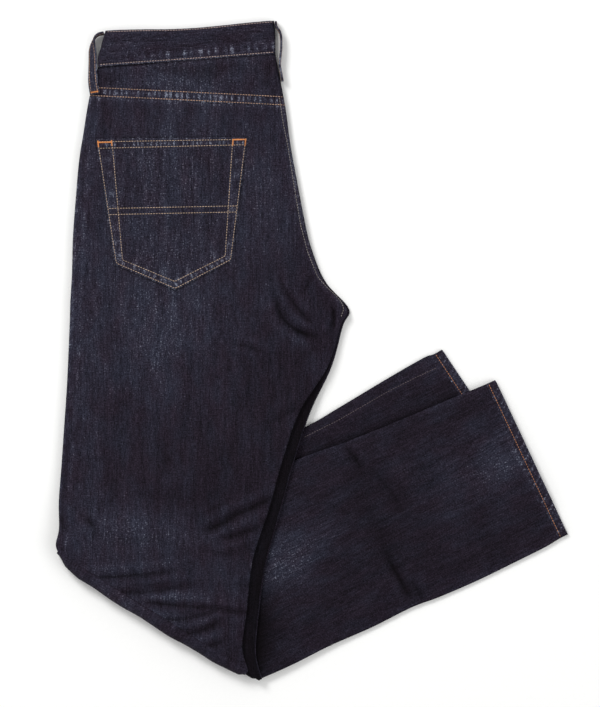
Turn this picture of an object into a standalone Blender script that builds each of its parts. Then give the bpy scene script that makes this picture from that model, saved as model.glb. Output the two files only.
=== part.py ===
# Slim five-pocket jeans, folded in half at the centre back with the fronts inside, laid flat,
# with both lower legs folded under along a slanted crease at the knee.
# The origin is on the surface below the middle of the part. +Y points to the waist, +Z up.
# All lengths in this file are in millimetres until MM turns them into metres.
import math

import bmesh
import bpy
import numpy as np

MM = 0.001

# Cloth and its layers
DENIM = 1.5
SEAM_GAP = 0.3
HIDDEN_GAP = 0.8
WAISTBAND_WALL = 2.2
WAISTBAND_SLIT = 0.5
HEM_WALL = 2.0
HEM_SLIT = 0.3
HEM_DEPTH = 12.0
LOOP_WIDTH = 12.0
LOOP_THICKNESS = 2.6

# How far the rows of the hip and the yoke lie apart, for the gap at the yoke seam
HIP_ROW_PITCH = 60.0
YOKE_ROW_PITCH = 40.0

# How far hidden layers stay inside the edges of what covers them
UNDER_INSET = (1.5, 0.3)
CALF_FRONT_INSET = 0.4
FRONTS_INSET = 2.6
FRONTS_UNDER_INSET = 4.1
FRONTS_CENTRE_INSET = 4.4
FRONTS_CALF_INSET = 0.6

# Heights of the layers over the surface
UNDER_LEG_TOP_WALL = 2.3
UNDER_LEG_STACK = 4.6
UPPER_LEG_TOP_WALL = 2.0
UPPER_LEG_STACK = 4.0
HIP_BACK_WALL = 9.0
HIP_CROWN = 3.0
CALF_CROWN = 3.0
CROWN_REACH = 35.0
EDGE_ROUND = 8.0
SIDE_CURL = 1.6
CENTRE_BACK_CURL = 3.3
CREASE_ALLOWANCE = 3.2
CORE_TURN = 3.0
LEG_SLACK = 0.4
CALF_CURL = 0.4
FRONT_CURL = 0.5
FRONT_CROWN = 1.4
FRONT_CROWN_REACH = 25.0
HEM_CALM = 60.0

# How cloth passes over what lies under it: a margin at full height, then a reach down to none
OVER_LEG_ABOVE = (10.0, 75.0)
OVER_LEG_BELOW = (12.0, 50.0)
OVER_LEG_CALF = (12.0, 34.0)
OVER_POCKET = (26.0, 30.0)
OVER_LOOP = (24.0, 28.0)
THIGH_OVER_CALF = (14.0, 70.0)
CALF_OVER_CALF = (8.0, 40.0)
CREASE_CALM_Y = 110.0
CREASE_CALM_RUN = 25.0
CREASE_CALM_EDGE = 24.0

# The thigh from the waist seam down to the knee crease. Each row is one section across the leg:
# its side seam end, its inner end, and how far the right leg below it lies beyond it.
# Columns: side_x, side_y, inner_x, inner_y, under_x, under_y
THIGH = (
    (-246.0, 327.0, -42.0, 342.0, 0, 0),
    (-256.0, 292.0, -30.5, 281.0, 0, 0),
    (-263.0, 250.0, -25.0, 240.0, 0, 0),
    (-268.0, 218.0, -17.0, 196.0, 0, 0),
    (-272.0, 172.0, -8.0, 149.0, 0, 0),
    (-275.0, 130.0, 0.0, 115.0, 1, 0),
    (-276.0, 91.0, 14.0, 80.0, 2, 0),
    (-278.0, 56.0, 40.0, 49.0, 3, 0),
    (-278.5, 36.0, 33.0, 29.0, 3, 0),
    (-280.0, 0.0, 18.0, -18.0, 5, 0),
    (-282.0, -42.0, -14.0, -69.0, 13, 0),
    (-285.0, -86.0, -34.0, -126.0, 14, 0),
    (-288.0, -130.0, -49.0, -180.0, 14, -2),
    (-291.0, -172.0, -68.0, -240.0, 16, -3),
    (-290.5, -203.0, -75.0, -300.0, 14, -5),
    (-294.0, -221.0, -80.0, -340.0, 16, -8),
    (-292.0, -230.0, -73.0, -366.0, 16, -10),
)
YOKE_SEAM_ROW = 1
CROTCH_Y = 45.0
CROTCH_ROW = 8
CREASE_ROW = len(THIGH) - 1

# The lower legs from the knee crease out to the hem, side seam end first.
# Columns: side_x, side_y, inner_x, inner_y
RIGHT_CALF = (
    (-276.0, -240.0, -57.0, -376.0),
    (-232.0, -220.0, -23.0, -361.0),
    (-175.0, -195.0, 21.0, -339.0),
    (-100.0, -161.0, 69.0, -318.0),
    (-18.0, -125.0, 115.0, -295.0),
    (37.0, -105.0, 147.0, -283.0),
    (90.0, -84.0, 191.0, -264.0),
    (142.0, -62.0, 234.0, -243.0),
    (183.0, -45.0, 268.0, -226.0),
    (200.0, -38.0, 284.0, -216.5),
    (211.0, -33.0, 295.0, -211.0),
)
LEFT_CALF = (
    (-292.0, -230.0, -73.0, -366.0),
    (-209.0, -188.0, -14.0, -326.0),
    (-117.0, -143.0, 46.0, -286.0),
    (-9.0, -88.0, 107.0, -247.0),
    (31.0, -65.0, 147.0, -222.0),
    (86.0, -32.0, 188.0, -199.0),
    (128.0, -8.0, 228.0, -177.0),
    (140.0, -3.5, 246.0, -165.0),
    (150.0, 2.0, 257.0, -158.0),
)

# How far the folded cloth bulges past the crease line, from the side seam to the inner end.
# Columns: share, bulge
BULGE = ((0.0, 7.0), (0.14, 14.5), (0.5, 15.5), (0.85, 14.0), (1.0, 10.5))

# The largest creases as soft troughs: both ends, depth and half width.
# Columns: from_x, from_y, to_x, to_y, depth, half_width
THIGH_CREASES = (
    (-68, -177, -90, -186, 2.4, 9),
    (-86, -185, -126, -209, 3.0, 10),
    (-82, -211, -106, -222, 1.6, 8),
    (-264, -262, -154, -250, 2.0, 9),
    (-237, -279, -142, -270, 1.6, 8),
    (-194, -291, -77, -300, 2.2, 9),
    (-165, -324, -106, -300, 2.0, 9),
    (-142, -342, -100, -334, 1.8, 8),
    (-276, -212, -250, -225, 1.8, 8),
    (-38, 81, -15, 34, 2.4, 11),
    (-88, 8, -55, -2, 1.2, 10),
)
CALF_CREASES = (
    (45, -111, 57, -136, 1.4, 9),
    (62, -150, 111, -198, 0.9, 14),
    (92, -256, 113, -285, 1.6, 9),
    (118, -258, 131, -284, 1.0, 8),
)

# Corners of the left back pocket: opening ends, lower corners and point.
POCKET_OPENING = ((-248.0, 244.0), (-74.0, 246.0))
POCKET_BASE = ((-226.0, 99.0), (-157.0, 70.0), (-92.0, 104.0))
POCKET_POINT_SHARE = 0.515

# The waistband's folded ring: ends of its sections from the seam up to the top edge.
# Columns: side_x, side_y, inner_x, inner_y
WAISTBAND_ROWS = (
    (-246.0, 327.3, -42.0, 342.3),
    (-246.0, 338.0, -42.0, 352.0),
    (-242.8, 349.5, -42.0, 362.0),
    (-240.3, 359.0, -42.5, 371.5),
    (-237.5, 368.5, -43.5, 380.3),
)
WAISTBAND_DIP = 3.0
CENTRE_FRONT_INSET = 16.0
RIGHT_SIDE_INSET = 3.0

# Belt loop routes: middle line of the strap, and the direction of its width.
# Columns: x, y, z, across_x, across_y, across_z
SIDE_LOOP_LEFT = (
    (-239.3, 365.9, 7.2, 0.0, 0.15, 1.0),
    (-245.5, 364.6, 7.2, 0.0, 0.1, 1.0),
    (-250.0, 360.5, 7.2, 0.05, 0.05, 1.0),
    (-252.0, 353.5, 7.4, 0.4, 0.0, 0.92),
    (-252.4, 346.0, 8.0, 0.7, 0.0, 0.7),
    (-252.0, 335.0, 9.0, 0.8, 0.0, 0.6),
    (-252.0, 322.0, 10.6, 0.85, 0.0, 0.52),
    (-251.5, 309.0, 12.0, 1.0, 0.0, 0.32),
    (-249.3, 295.5, 12.9, 1.0, 0.0, 0.16),
)
CENTRE_BACK_LOOP = (
    (-41.6, 379.5, 6.2, 0.0, 0.0, 1.0),
    (-40.9, 373.5, 6.2, 0.0, 0.0, 1.0),
    (-37.2, 368.5, 6.2, 0.0, 0.0, 1.0),
    (-35.4, 361.0, 6.2, 0.0, 0.0, 1.0),
    (-35.4, 348.0, 6.2, 0.0, 0.0, 1.0),
    (-36.4, 338.0, 6.2, 0.0, 0.0, 1.0),
    (-37.0, 329.5, 6.2, 0.0, 0.0, 1.0),
    (-35.3, 320.0, 6.2, 0.0, 0.0, 1.0),
    (-33.7, 311.0, 6.2, 0.0, 0.0, 1.0),
)
SIDE_LOOP_RIGHT_X = -222.0
SIDE_LOOP_RIGHT_Y = (295.0, 366.0)

# Edge of the stacked fronts, from its upper layer down: height, how far the point follows the
# upper layer's outline and not the lower one's, and depth inwards as a share of the height.
# Columns: height_share, upper_layer_share, depth_share
RIM = ((0.78, 1.0, -0.10), (0.52, 1.0, 0.18), (0.40, 0.0, 0.05), (0.18, 0.0, -0.10))

# Mesh density: columns across a wall and steps round the crease.
COLUMNS_FINE = 17
COLUMNS = 13
BEND_STEPS = 7
EDGE_SHARES = (0.015, 0.036)
EDGE_ZONE = 0.09
TIGHT_STEPS = 4
FOLD_END = 3.0
STRAP_EDGE = 0.5

MATERIAL_TABLE = {
    "denim": ((0.020, 0.019, 0.032, 1.0), 0.85),
    "denim_face": ((0.030, 0.031, 0.052, 1.0), 0.85),
    "denim_band": ((0.016, 0.015, 0.024, 1.0), 0.85),
    "denim_inside": ((0.060, 0.065, 0.085, 1.0), 0.9),
}


def remove_old_objects():
    for old in list(bpy.data.objects):
        bpy.data.objects.remove(old, do_unlink=True)


def cloth_material(name):
    colour, roughness = MATERIAL_TABLE[name]
    material = bpy.data.materials.get(name) or bpy.data.materials.new(name)
    material.use_nodes = True
    shader = material.node_tree.nodes["Principled BSDF"]
    shader.inputs["Base Color"].default_value = colour
    shader.inputs["Roughness"].default_value = roughness
    shader.inputs["Metallic"].default_value = 0.0
    return material


def smooth_row(table, place):
    """A table's row at a fractional place, on a smooth curve through its rows."""
    last = len(table) - 1
    first = min(int(place), last - 1)
    t = place - first
    rows = [np.array(table[min(max(first + k, 0), last)], float) for k in (-1, 0, 1, 2)]
    a, b, c, d = rows
    linear = (c - a) * t
    square = (2 * a - 5 * b + 4 * c - d) * t * t
    cube = (3 * b - a - 3 * c + d) * t ** 3
    return 0.5 * (2 * b + linear + square + cube)


def ease(t):
    t = min(max(t, 0.0), 1.0)
    return t * t * (3.0 - 2.0 * t)


def shares(count):
    """Places across a wall from 0 to 1, with two extra ones beside each edge for its curl."""
    middle = spread(EDGE_ZONE, 1.0 - EDGE_ZONE, count - 2 * len(EDGE_SHARES) - 2)
    return [0.0, *EDGE_SHARES, *middle, *(1.0 - e for e in EDGE_SHARES[::-1]), 1.0]


def spread(first, last, count):
    return [first + (last - first) * i / (count - 1) for i in range(count)]


def segment_distance(point, start, end):
    run = end - start
    length = float(run @ run)
    t = 0.0 if length == 0.0 else min(max(float((point - start) @ run) / length, 0.0), 1.0)
    return float(np.linalg.norm(point - start - t * run)), t


def line_distance(point, line):
    return min(segment_distance(point, line[i], line[i + 1])[0] for i in range(len(line) - 1))


def is_inside(point, outline):
    inside = False
    x, y = point
    for i in range(len(outline)):
        x1, y1 = outline[i]
        x2, y2 = outline[i - 1]
        if (y1 > y) != (y2 > y) and x < (x2 - x1) * (y - y1) / (y2 - y1) + x1:
            inside = not inside
    return inside


def edge_line(table, side, first=0.0, per_row=4):
    """One edge of a table's sections as a dense line: side 0 is the side seam, 1 the inner end."""
    count = int((len(table) - 1 - first) * per_row) + 1
    rows = [smooth_row(table, place) for place in spread(first, len(table) - 1, count)]
    return [row[2 * side:2 * side + 2] for row in rows]


def outline_of(table):
    return edge_line(table, 0) + edge_line(table, 1)[::-1]


def cover(point, outline, margin_and_reach):
    """1 over an outline and a margin round it, falling smoothly to 0 at the reach."""
    margin, reach = margin_and_reach
    if is_inside(point, outline):
        return 1.0
    distance = line_distance(point, list(outline) + [outline[0]])
    return 1.0 - ease((distance - margin) / reach)


THIGH_SIDE = edge_line(THIGH, 0)
THIGH_INNER = edge_line(THIGH, 1)
THIGH_OUTLINE = outline_of(THIGH)
UNDER_THIGH = [(r[0] + r[4], r[1] + r[5], r[2] + r[4], r[3] + r[5]) for r in THIGH]
UNDER_SIDE = edge_line(UNDER_THIGH, 0)
UNDER_INNER = edge_line(UNDER_THIGH, 1)
RIGHT_CALF_OUTLINE = outline_of(RIGHT_CALF)
LEFT_CALF_OUTLINE = outline_of(LEFT_CALF)
RIGHT_CALF_EDGES = (edge_line(RIGHT_CALF, 0), edge_line(RIGHT_CALF, 1))
LEFT_CALF_EDGES = (edge_line(LEFT_CALF, 0), edge_line(LEFT_CALF, 1))
POCKET_OUTLINE = [np.array(p) for p in POCKET_OPENING + POCKET_BASE[::-1]]
SIDE_LOOP_RIGHT_OUTLINE = [
    np.array((SIDE_LOOP_RIGHT_X - LOOP_WIDTH / 2, SIDE_LOOP_RIGHT_Y[0])),
    np.array((SIDE_LOOP_RIGHT_X + LOOP_WIDTH / 2, SIDE_LOOP_RIGHT_Y[0])),
    np.array((SIDE_LOOP_RIGHT_X + LOOP_WIDTH / 2, SIDE_LOOP_RIGHT_Y[1])),
    np.array((SIDE_LOOP_RIGHT_X - LOOP_WIDTH / 2, SIDE_LOOP_RIGHT_Y[1])),
]


def creases(point, table):
    """Depth of the soft troughs at a point, deepest in the middle of each."""
    depth = 0.0
    for from_x, from_y, to_x, to_y, deep, half_width in table:
        start, end = np.array((from_x, from_y)), np.array((to_x, to_y))
        distance, t = segment_distance(point, start, end)
        swell = 0.75 + 0.25 * math.sin(math.pi * t)
        depth = max(depth, deep * swell * math.exp(-(distance / half_width) ** 2))
    return depth


def crown(distance, height):
    return height * (1.0 - math.exp(-distance / CROWN_REACH))


def curl(distance, amount):
    return amount * max(0.0, 1.0 - distance / EDGE_ROUND) ** 2


def right_side_base(point):
    """The underside of the right half of the fold: flat on the surface, over the legs and over
    the pocket and the belt loop that lie under it."""
    legs = UNDER_LEG_STACK * cover(point, LEFT_CALF_OUTLINE, OVER_LEG_BELOW)
    legs += (UPPER_LEG_STACK + LEG_SLACK) * cover(point, RIGHT_CALF_OUTLINE, OVER_LEG_BELOW)
    sewn_on = (DENIM + SEAM_GAP) * cover(point, POCKET_OUTLINE, OVER_POCKET)
    loop = (LOOP_THICKNESS + SEAM_GAP) * cover(point, SIDE_LOOP_RIGHT_OUTLINE, OVER_LOOP)
    return legs + max(sewn_on, loop)


def edge_curl(point, side_line, inner_line):
    """Distance to the nearer edge of a thigh wall, and how far the wall curls there."""
    side = line_distance(point, side_line)
    inner = line_distance(point, inner_line)
    amount = CENTRE_BACK_CURL if inner < side and point[1] > CROTCH_Y else SIDE_CURL
    return min(side, inner), amount


def left_back_height(point, with_creases=True):
    """Lower face of the left back wall, the top layer of the folded thigh."""
    distance, amount = edge_curl(point, THIGH_SIDE, THIGH_INNER)
    legs = UNDER_LEG_STACK * cover(point, LEFT_CALF_OUTLINE, OVER_LEG_ABOVE)
    legs += (UPPER_LEG_STACK + LEG_SLACK) * cover(point, RIGHT_CALF_OUTLINE, OVER_LEG_ABOVE)
    height = HIP_BACK_WALL + legs + crown(distance, HIP_CROWN) - curl(distance, amount)
    if with_creases:
        height -= creases(point, THIGH_CREASES)
    return height


def core_top_height(point):
    distance = min(line_distance(point, THIGH_SIDE), line_distance(point, THIGH_INNER))
    calm = ease((CREASE_CALM_Y - point[1]) / CREASE_CALM_RUN) * ease(distance / CREASE_CALM_EDGE)
    return left_back_height(point, with_creases=False) - HIDDEN_GAP - CREASE_ALLOWANCE * calm


def right_calf_base(point):
    return UNDER_LEG_STACK * cover(point, LEFT_CALF_OUTLINE, OVER_LEG_CALF)


def right_calf_height(point):
    """Lower face of the right leg's upper wall."""
    distance = min(line_distance(point, edge) for edge in RIGHT_CALF_EDGES)
    open_air = 1.0 - cover(point, THIGH_OUTLINE, THIGH_OVER_CALF)
    from_hem = segment_distance(point, RIGHT_CALF_EDGES[0][-1], RIGHT_CALF_EDGES[1][-1])[0]
    rise = open_air * min(1.0, from_hem / HEM_CALM) * crown(distance, CALF_CROWN)
    height = right_calf_base(point) + UPPER_LEG_TOP_WALL + rise
    return height - min(creases(point, CALF_CREASES), rise) - curl(distance, CALF_CURL)


def left_calf_height(point):
    """Lower face of the left leg's upper wall, which shows as a strip behind the right leg."""
    open_air = 1.0 - cover(point, RIGHT_CALF_OUTLINE, CALF_OVER_CALF)
    distance = min(line_distance(point, edge) for edge in LEFT_CALF_EDGES)
    rise = FRONT_CROWN * open_air * ease(distance / FRONT_CROWN_REACH)
    return UNDER_LEG_TOP_WALL + rise - curl(distance, FRONT_CURL)


def add_solid(name, vertices, faces, material, smooth_angle=40.0):
    mesh = bpy.data.meshes.new(name)
    mesh.from_pydata([tuple(float(c) * MM for c in v) for v in vertices], [], faces)
    shape = bmesh.new()
    shape.from_mesh(mesh)
    bmesh.ops.recalc_face_normals(shape, faces=shape.faces)
    bmesh.ops.triangulate(shape, faces=shape.faces)
    shape.to_mesh(mesh)
    shape.free()
    mesh.shade_smooth()
    mesh.set_sharp_from_angle(angle=math.radians(smooth_angle))
    mesh.materials.append(cloth_material(material))
    solid = bpy.data.objects.new(name, mesh)
    bpy.context.scene.collection.objects.link(solid)
    return solid


def cloth_wall(name, rows, material):
    """A closed wall through rows of sections. Each row holds the face points, the inside points
    and the rim points at both edges, each list running the same way."""
    count = len(rows[0][0])
    rim = len(rows[0][2])
    ring = 2 * count + 2 * rim
    vertices = []
    for face, inside, far_rim, near_rim in rows:
        vertices += list(face) + list(far_rim) + list(inside)[::-1] + list(near_rim)
    faces = []
    for i in range(len(rows) - 1):
        for j in range(ring):
            k = (j + 1) % ring
            faces.append((i * ring + j, i * ring + k, (i + 1) * ring + k, (i + 1) * ring + j))
    for start in (0, (len(rows) - 1) * ring):
        inside_first = count + rim
        for j in range(count - 1):
            opposite = inside_first + count - 1 - j
            faces.append((start + j, start + j + 1, start + opposite - 1, start + opposite))
        if rim:
            far = tuple(start + count - 1 + j for j in range(rim + 2))
            near = tuple(start + (inside_first + count - 1 + j) % ring for j in range(rim + 2))
            faces += [far, near]
    return add_solid(name, vertices, faces, material)


def section(table, place, columns, inset=(0.0, 0.0), under=False):
    """Plan points across one section of a table, with its ends moved inwards."""
    row = smooth_row(table, place)
    side, inner = row[0:2].copy(), row[2:4].copy()
    if under:
        side += row[4:6]
        inner += row[4:6]
    across = (inner - side) / np.linalg.norm(inner - side)
    side += across * inset[0]
    inner -= across * inset[1]
    return [side + (inner - side) * u for u in shares(columns)]


def raise_to(points, height, extra=0.0):
    return [np.array((p[0], p[1], height(p) + extra)) for p in points]


def bulge_at(share):
    places = [row[0] for row in BULGE]
    return float(np.interp(share, places, [row[1] for row in BULGE]))


def bend_rows(top, bottom, reach, steps):
    """Points that turn round the crease from the end of one wall to the start of another. Each
    column follows half an oval from its top point to its bottom point."""
    rows = []
    for i in range(1, steps):
        angle = math.pi * i / steps
        row = []
        for column, (high, low) in enumerate(zip(top, bottom)):
            axis = high + (low - high) * i / steps
            middle = (high[2] + low[2]) / 2
            half = (high[2] - low[2]) / 2
            out = reach[column] * math.sin(angle)
            row.append(np.array((axis[0] + OUTWARD[0] * out, axis[1] + OUTWARD[1] * out,
                                 middle + half * math.cos(angle))))
        rows.append(row)
    return rows


CREASE_RUN = np.array((THIGH[-1][2] - THIGH[-1][0], THIGH[-1][3] - THIGH[-1][1]))
CREASE_LENGTH = float(np.linalg.norm(CREASE_RUN))
OUTWARD = np.array((CREASE_RUN[1], -CREASE_RUN[0])) / CREASE_LENGTH


def plain_rows(faces, insides):
    return [(face, inside, [], []) for face, inside in zip(faces, insides)]


def hem_place(table):
    """The place in a lower leg's table where its panel ends, a seam gap before the hem."""
    run = np.linalg.norm(np.array(table[-1][0:2]) - np.array(table[-2][0:2]))
    return len(table) - 1 - (HEM_DEPTH + SEAM_GAP) / float(run)


THIGH_PLACES = spread(YOKE_SEAM_ROW, 11.0, 21) + spread(11.33, CREASE_ROW, 14)


def back_panel_left():
    """The left back: the top of the thigh, round the knee crease, and on under the left calf."""
    gap = SEAM_GAP / 2 / HIP_ROW_PITCH
    places = [YOKE_SEAM_ROW + gap] + THIGH_PLACES[1:]
    plans = [section(THIGH, place, COLUMNS_FINE) for place in places]
    insides = [raise_to(plan, left_back_height) for plan in plans]
    faces = [raise_to(plan, left_back_height, DENIM) for plan in plans]
    calf_places = spread(0.0, 6.0, 7) + [hem_place(LEFT_CALF)]
    calf = [section(LEFT_CALF, place, COLUMNS_FINE) for place in calf_places]
    floor_faces = [raise_to(plan, lambda p: 0.0) for plan in calf]
    floor_insides = [raise_to(plan, lambda p: DENIM) for plan in calf]
    reach = [bulge_at(u) for u in shares(COLUMNS_FINE)]
    inner_reach = [r - DENIM for r in reach]
    faces += bend_rows(faces[-1], floor_faces[0], reach, BEND_STEPS) + floor_faces
    insides += bend_rows(insides[-1], floor_insides[0], inner_reach, BEND_STEPS) + floor_insides
    return cloth_wall("back_panel_left", plain_rows(faces, insides), "denim_face")


def front_panel_left():
    """The left front where it shows: the upper wall of the left calf."""
    places = spread(0.03, 6.0, 17) + [hem_place(LEFT_CALF)]
    inset = (CALF_FRONT_INSET, CALF_FRONT_INSET)
    plans = [section(LEFT_CALF, place, COLUMNS, inset) for place in places]
    faces = [raise_to(plan, left_calf_height, DENIM) for plan in plans]
    insides = [raise_to(plan, left_calf_height) for plan in plans]
    return cloth_wall("front_panel_left", plain_rows(faces, insides), "denim")


def right_back_height(point):
    distance, amount = edge_curl(point, UNDER_SIDE, UNDER_INNER)
    return right_side_base(point) + curl(distance, amount)


def back_panel_right():
    """The right back: the underside of the thigh, a tight turn at the crease, and the upper
    wall of the right calf, which shows."""
    gap = SEAM_GAP / 2 / HIP_ROW_PITCH
    places = [YOKE_SEAM_ROW + gap] + THIGH_PLACES[1:]
    plans = [section(THIGH, place, COLUMNS, UNDER_INSET, under=True) for place in places]
    faces = [raise_to(plan, right_back_height) for plan in plans]
    insides = [raise_to(plan, right_back_height, DENIM) for plan in plans]
    calf_places = spread(0.0, 8.0, 21) + [hem_place(RIGHT_CALF)]
    calf = [section(RIGHT_CALF, place, COLUMNS) for place in calf_places]
    calf_faces = [raise_to(plan, right_calf_height, DENIM) for plan in calf]
    calf_insides = [raise_to(plan, right_calf_height) for plan in calf]
    middle = COLUMNS // 2
    turn = (faces[-1][middle][2] - calf_faces[0][middle][2]) / 2
    reach = [turn + SEAM_GAP] * COLUMNS
    outer_reach = [turn + SEAM_GAP + DENIM] * COLUMNS
    faces += bend_rows(faces[-1], calf_faces[0], reach, TIGHT_STEPS) + calf_faces
    insides += bend_rows(insides[-1], calf_insides[0], outer_reach, TIGHT_STEPS) + calf_insides
    return cloth_wall("back_panel_right", plain_rows(faces, insides), "denim_face")


def layered_rim(high, low, outwards):
    """Points down an edge of the stacked fronts: a round nose, a groove, and the nose of the
    lower layer, which may lie further out."""
    run = high - low
    sideways = outwards * float(run @ outwards)
    rise = run - sideways
    thick = float(np.linalg.norm(rise))
    points = []
    for height_share, upper_share, depth_share in RIM:
        point = low + rise * height_share + sideways * upper_share
        points.append(point - outwards * thick * depth_share)
    return points


def folded_fronts():
    """Both fronts inside the fold, with the fly, front pockets and front loops: one rounded
    solid with layered edges that turns at the knee and runs on under the right calf."""
    places = [SEAM_GAP / HIP_ROW_PITCH, YOKE_SEAM_ROW / 2] + THIGH_PLACES
    rows = []
    tops, bottoms = [], []
    for place in places:
        inner = FRONTS_INSET + FRONTS_CENTRE_INSET * ease((CROTCH_ROW + 1 - place) / 2.0)
        tops.append(section(THIGH, place, COLUMNS, (FRONTS_INSET, inner)))
        bottoms.append(section(THIGH, place, COLUMNS, (FRONTS_UNDER_INSET, inner), under=True))
    tops = [raise_to(plan, core_top_height) for plan in tops]
    bottoms = [raise_to(plan, right_back_height, DENIM + HIDDEN_GAP) for plan in bottoms]
    calf_places = spread(0.0, 8.0, 13) + [hem_place(RIGHT_CALF)]
    inset = (FRONTS_CALF_INSET, FRONTS_CALF_INSET)
    calf = [section(RIGHT_CALF, place, COLUMNS, inset) for place in calf_places]
    calf_tops = [raise_to(plan, right_calf_base) for plan in calf]
    calf_bottoms = [raise_to(plan, right_calf_base, DENIM) for plan in calf]
    reach = []
    for u in shares(COLUMNS):
        room = min(bulge_at(u), bulge_at(min(u + 0.08, 1.0))) - DENIM - 3 * HIDDEN_GAP
        reach.append(max(room, CORE_TURN + 1.0))
    inner_reach = [CORE_TURN] * COLUMNS
    tops += bend_rows(tops[-1], calf_tops[0], reach, BEND_STEPS) + calf_tops
    bottoms += bend_rows(bottoms[-1], calf_bottoms[0], inner_reach, BEND_STEPS) + calf_bottoms
    for top, bottom in zip(tops, bottoms):
        across = np.array((top[-1][0] - top[0][0], top[-1][1] - top[0][1], 0.0))
        across /= np.linalg.norm(across)
        far = layered_rim(top[-1], bottom[-1], across)
        near = layered_rim(top[0], bottom[0], -across)[::-1]
        rows.append((top, bottom, far, near))
    return cloth_wall("folded_fronts", rows, "denim_inside")


def yoke(name, height, under):
    gap = SEAM_GAP / 2 / YOKE_ROW_PITCH
    places = spread(gap, YOKE_SEAM_ROW - gap, 5)
    inset = UNDER_INSET if under else (0.0, 0.0)
    plans = [section(THIGH, place, COLUMNS, inset, under=under) for place in places]
    lower = [raise_to(plan, height) for plan in plans]
    upper = [raise_to(plan, height, DENIM) for plan in plans]
    faces, insides = (lower, upper) if under else (upper, lower)
    return cloth_wall(name, plain_rows(faces, insides), "denim_face")


def pocket_plan(rows=6, columns=9):
    """Plan points of a patch pocket, row by row from its opening to its pointed base."""
    plans = []
    for v in spread(0.0, 1.0, rows):
        row = []
        for u in spread(0.0, 1.0, columns):
            top = np.array(POCKET_OPENING[0]) * (1 - u) + np.array(POCKET_OPENING[1]) * u
            if u < POCKET_POINT_SHARE:
                part = u / POCKET_POINT_SHARE
                base = np.array(POCKET_BASE[0]) * (1 - part) + np.array(POCKET_BASE[1]) * part
            else:
                part = (u - POCKET_POINT_SHARE) / (1 - POCKET_POINT_SHARE)
                base = np.array(POCKET_BASE[1]) * (1 - part) + np.array(POCKET_BASE[2]) * part
            row.append(top * (1 - v) + base * v)
        plans.append(row)
    return plans


def back_pockets():
    plans = pocket_plan()
    seat = DENIM + SEAM_GAP
    insides = [raise_to(plan, left_back_height, seat) for plan in plans]
    faces = [raise_to(plan, left_back_height, seat + DENIM) for plan in plans]
    cloth_wall("back_pocket_left", plain_rows(faces, insides), "denim_face")
    faces = [raise_to(plan, lambda p: 0.0) for plan in plans]
    insides = [raise_to(plan, lambda p: DENIM) for plan in plans]
    cloth_wall("back_pocket_right", plain_rows(faces, insides), "denim_face")


def ring_wall(name, loops, wall, material):
    """A closed band: each row holds a closed middle line and its outward directions, and the
    wall lies half on each side of it."""
    count = len(loops[0][0])
    vertices = []
    for middle, outward in loops:
        vertices += [m + o * wall / 2 for m, o in zip(middle, outward)]
        vertices += [m - o * wall / 2 for m, o in zip(middle, outward)]
    faces = []
    for i in range(len(loops) - 1):
        a, b = i * 2 * count, (i + 1) * 2 * count
        for j in range(count):
            k = (j + 1) % count
            faces.append((a + j, a + k, b + k, b + j))
            faces.append((a + count + k, a + count + j, b + count + j, b + count + k))
    for row in (0, len(loops) - 1):
        a = row * 2 * count
        for j in range(count):
            k = (j + 1) % count
            faces.append((a + j, a + count + j, a + count + k, a + k))
    return add_solid(name, vertices, faces, material)


def arc(centre, radius, start, end, steps):
    """Points of an arc in a section, as (across, height)."""
    points = []
    for i in range(steps + 1):
        angle = math.radians(start + (end - start) * i / steps)
        points.append((centre[0] + radius * math.cos(angle), centre[1] + radius * math.sin(angle)))
    return points


def folded_ring(width):
    """Middle line of the waistband's section: back, side fold, front, centre front fold, front,
    side fold and back, closed by the centre back fold. Across runs from the side to the back."""
    pitch = WAISTBAND_WALL + WAISTBAND_SLIT
    half = WAISTBAND_WALL / 2
    levels = [half + i * pitch for i in range(4)]
    turn = pitch / 2
    big = (levels[3] - levels[0]) / 2
    side_top, side_low = half + turn, RIGHT_SIDE_INSET + half + turn
    back = width - half - big
    front = width - CENTRE_FRONT_INSET
    run = spread(side_low + FOLD_END, front - FOLD_END, 9)
    points = []
    points += arc((back, levels[0] + big), big, -90, 90, 8)
    points += [(x, levels[3]) for x in run[::-1]]
    points += arc((side_top, levels[2] + turn), turn, 90, 270, 4)
    points += [(x, levels[2]) for x in run]
    points += arc((front, levels[1] + turn), turn, 90, -90, 4)
    points += [(x, levels[1]) for x in run[::-1]]
    points += arc((side_low, levels[0] + turn), turn, 90, 270, 4)
    points += [(x, levels[0]) for x in run]
    return points


def flat_ring(width, wall, slit, columns=9):
    """Middle line of a hem's section: a tube pressed flat."""
    turn = (wall + slit) / 2
    half = wall / 2
    ends = (half + turn, width - half - turn)
    points = arc((ends[1], half + turn), turn, -90, 90, 4)
    points += [(x, half + 2 * turn) for x in spread(ends[1], ends[0], columns)[1:-1]]
    points += arc((ends[0], half + turn), turn, 90, 270, 4)
    points += [(x, half) for x in spread(ends[0], ends[1], columns)[1:-1]]
    return points


def place_loop(section_points, side, inner, base, dip=0.0):
    """Sets a section's middle line between two plan points and works out its outward way."""
    run = inner - side
    width = float(np.linalg.norm(run))
    across = run / width
    along = np.array((-across[1], across[0]))
    middle = []
    for reach, height in section_points:
        sag = dip * math.sin(math.pi * reach / width) ** 2
        plan = side + across * reach - along * sag
        middle.append(np.array((plan[0], plan[1], height + base(plan))))
    outward = []
    for i in range(len(middle)):
        run3 = middle[(i + 1) % len(middle)] - middle[i - 1]
        flat = np.array((run3[0] * across[0] + run3[1] * across[1], run3[2]))
        flat /= np.linalg.norm(flat)
        outward.append(np.array((across[0] * flat[1], across[1] * flat[1], -flat[0])))
    return middle, outward


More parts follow.
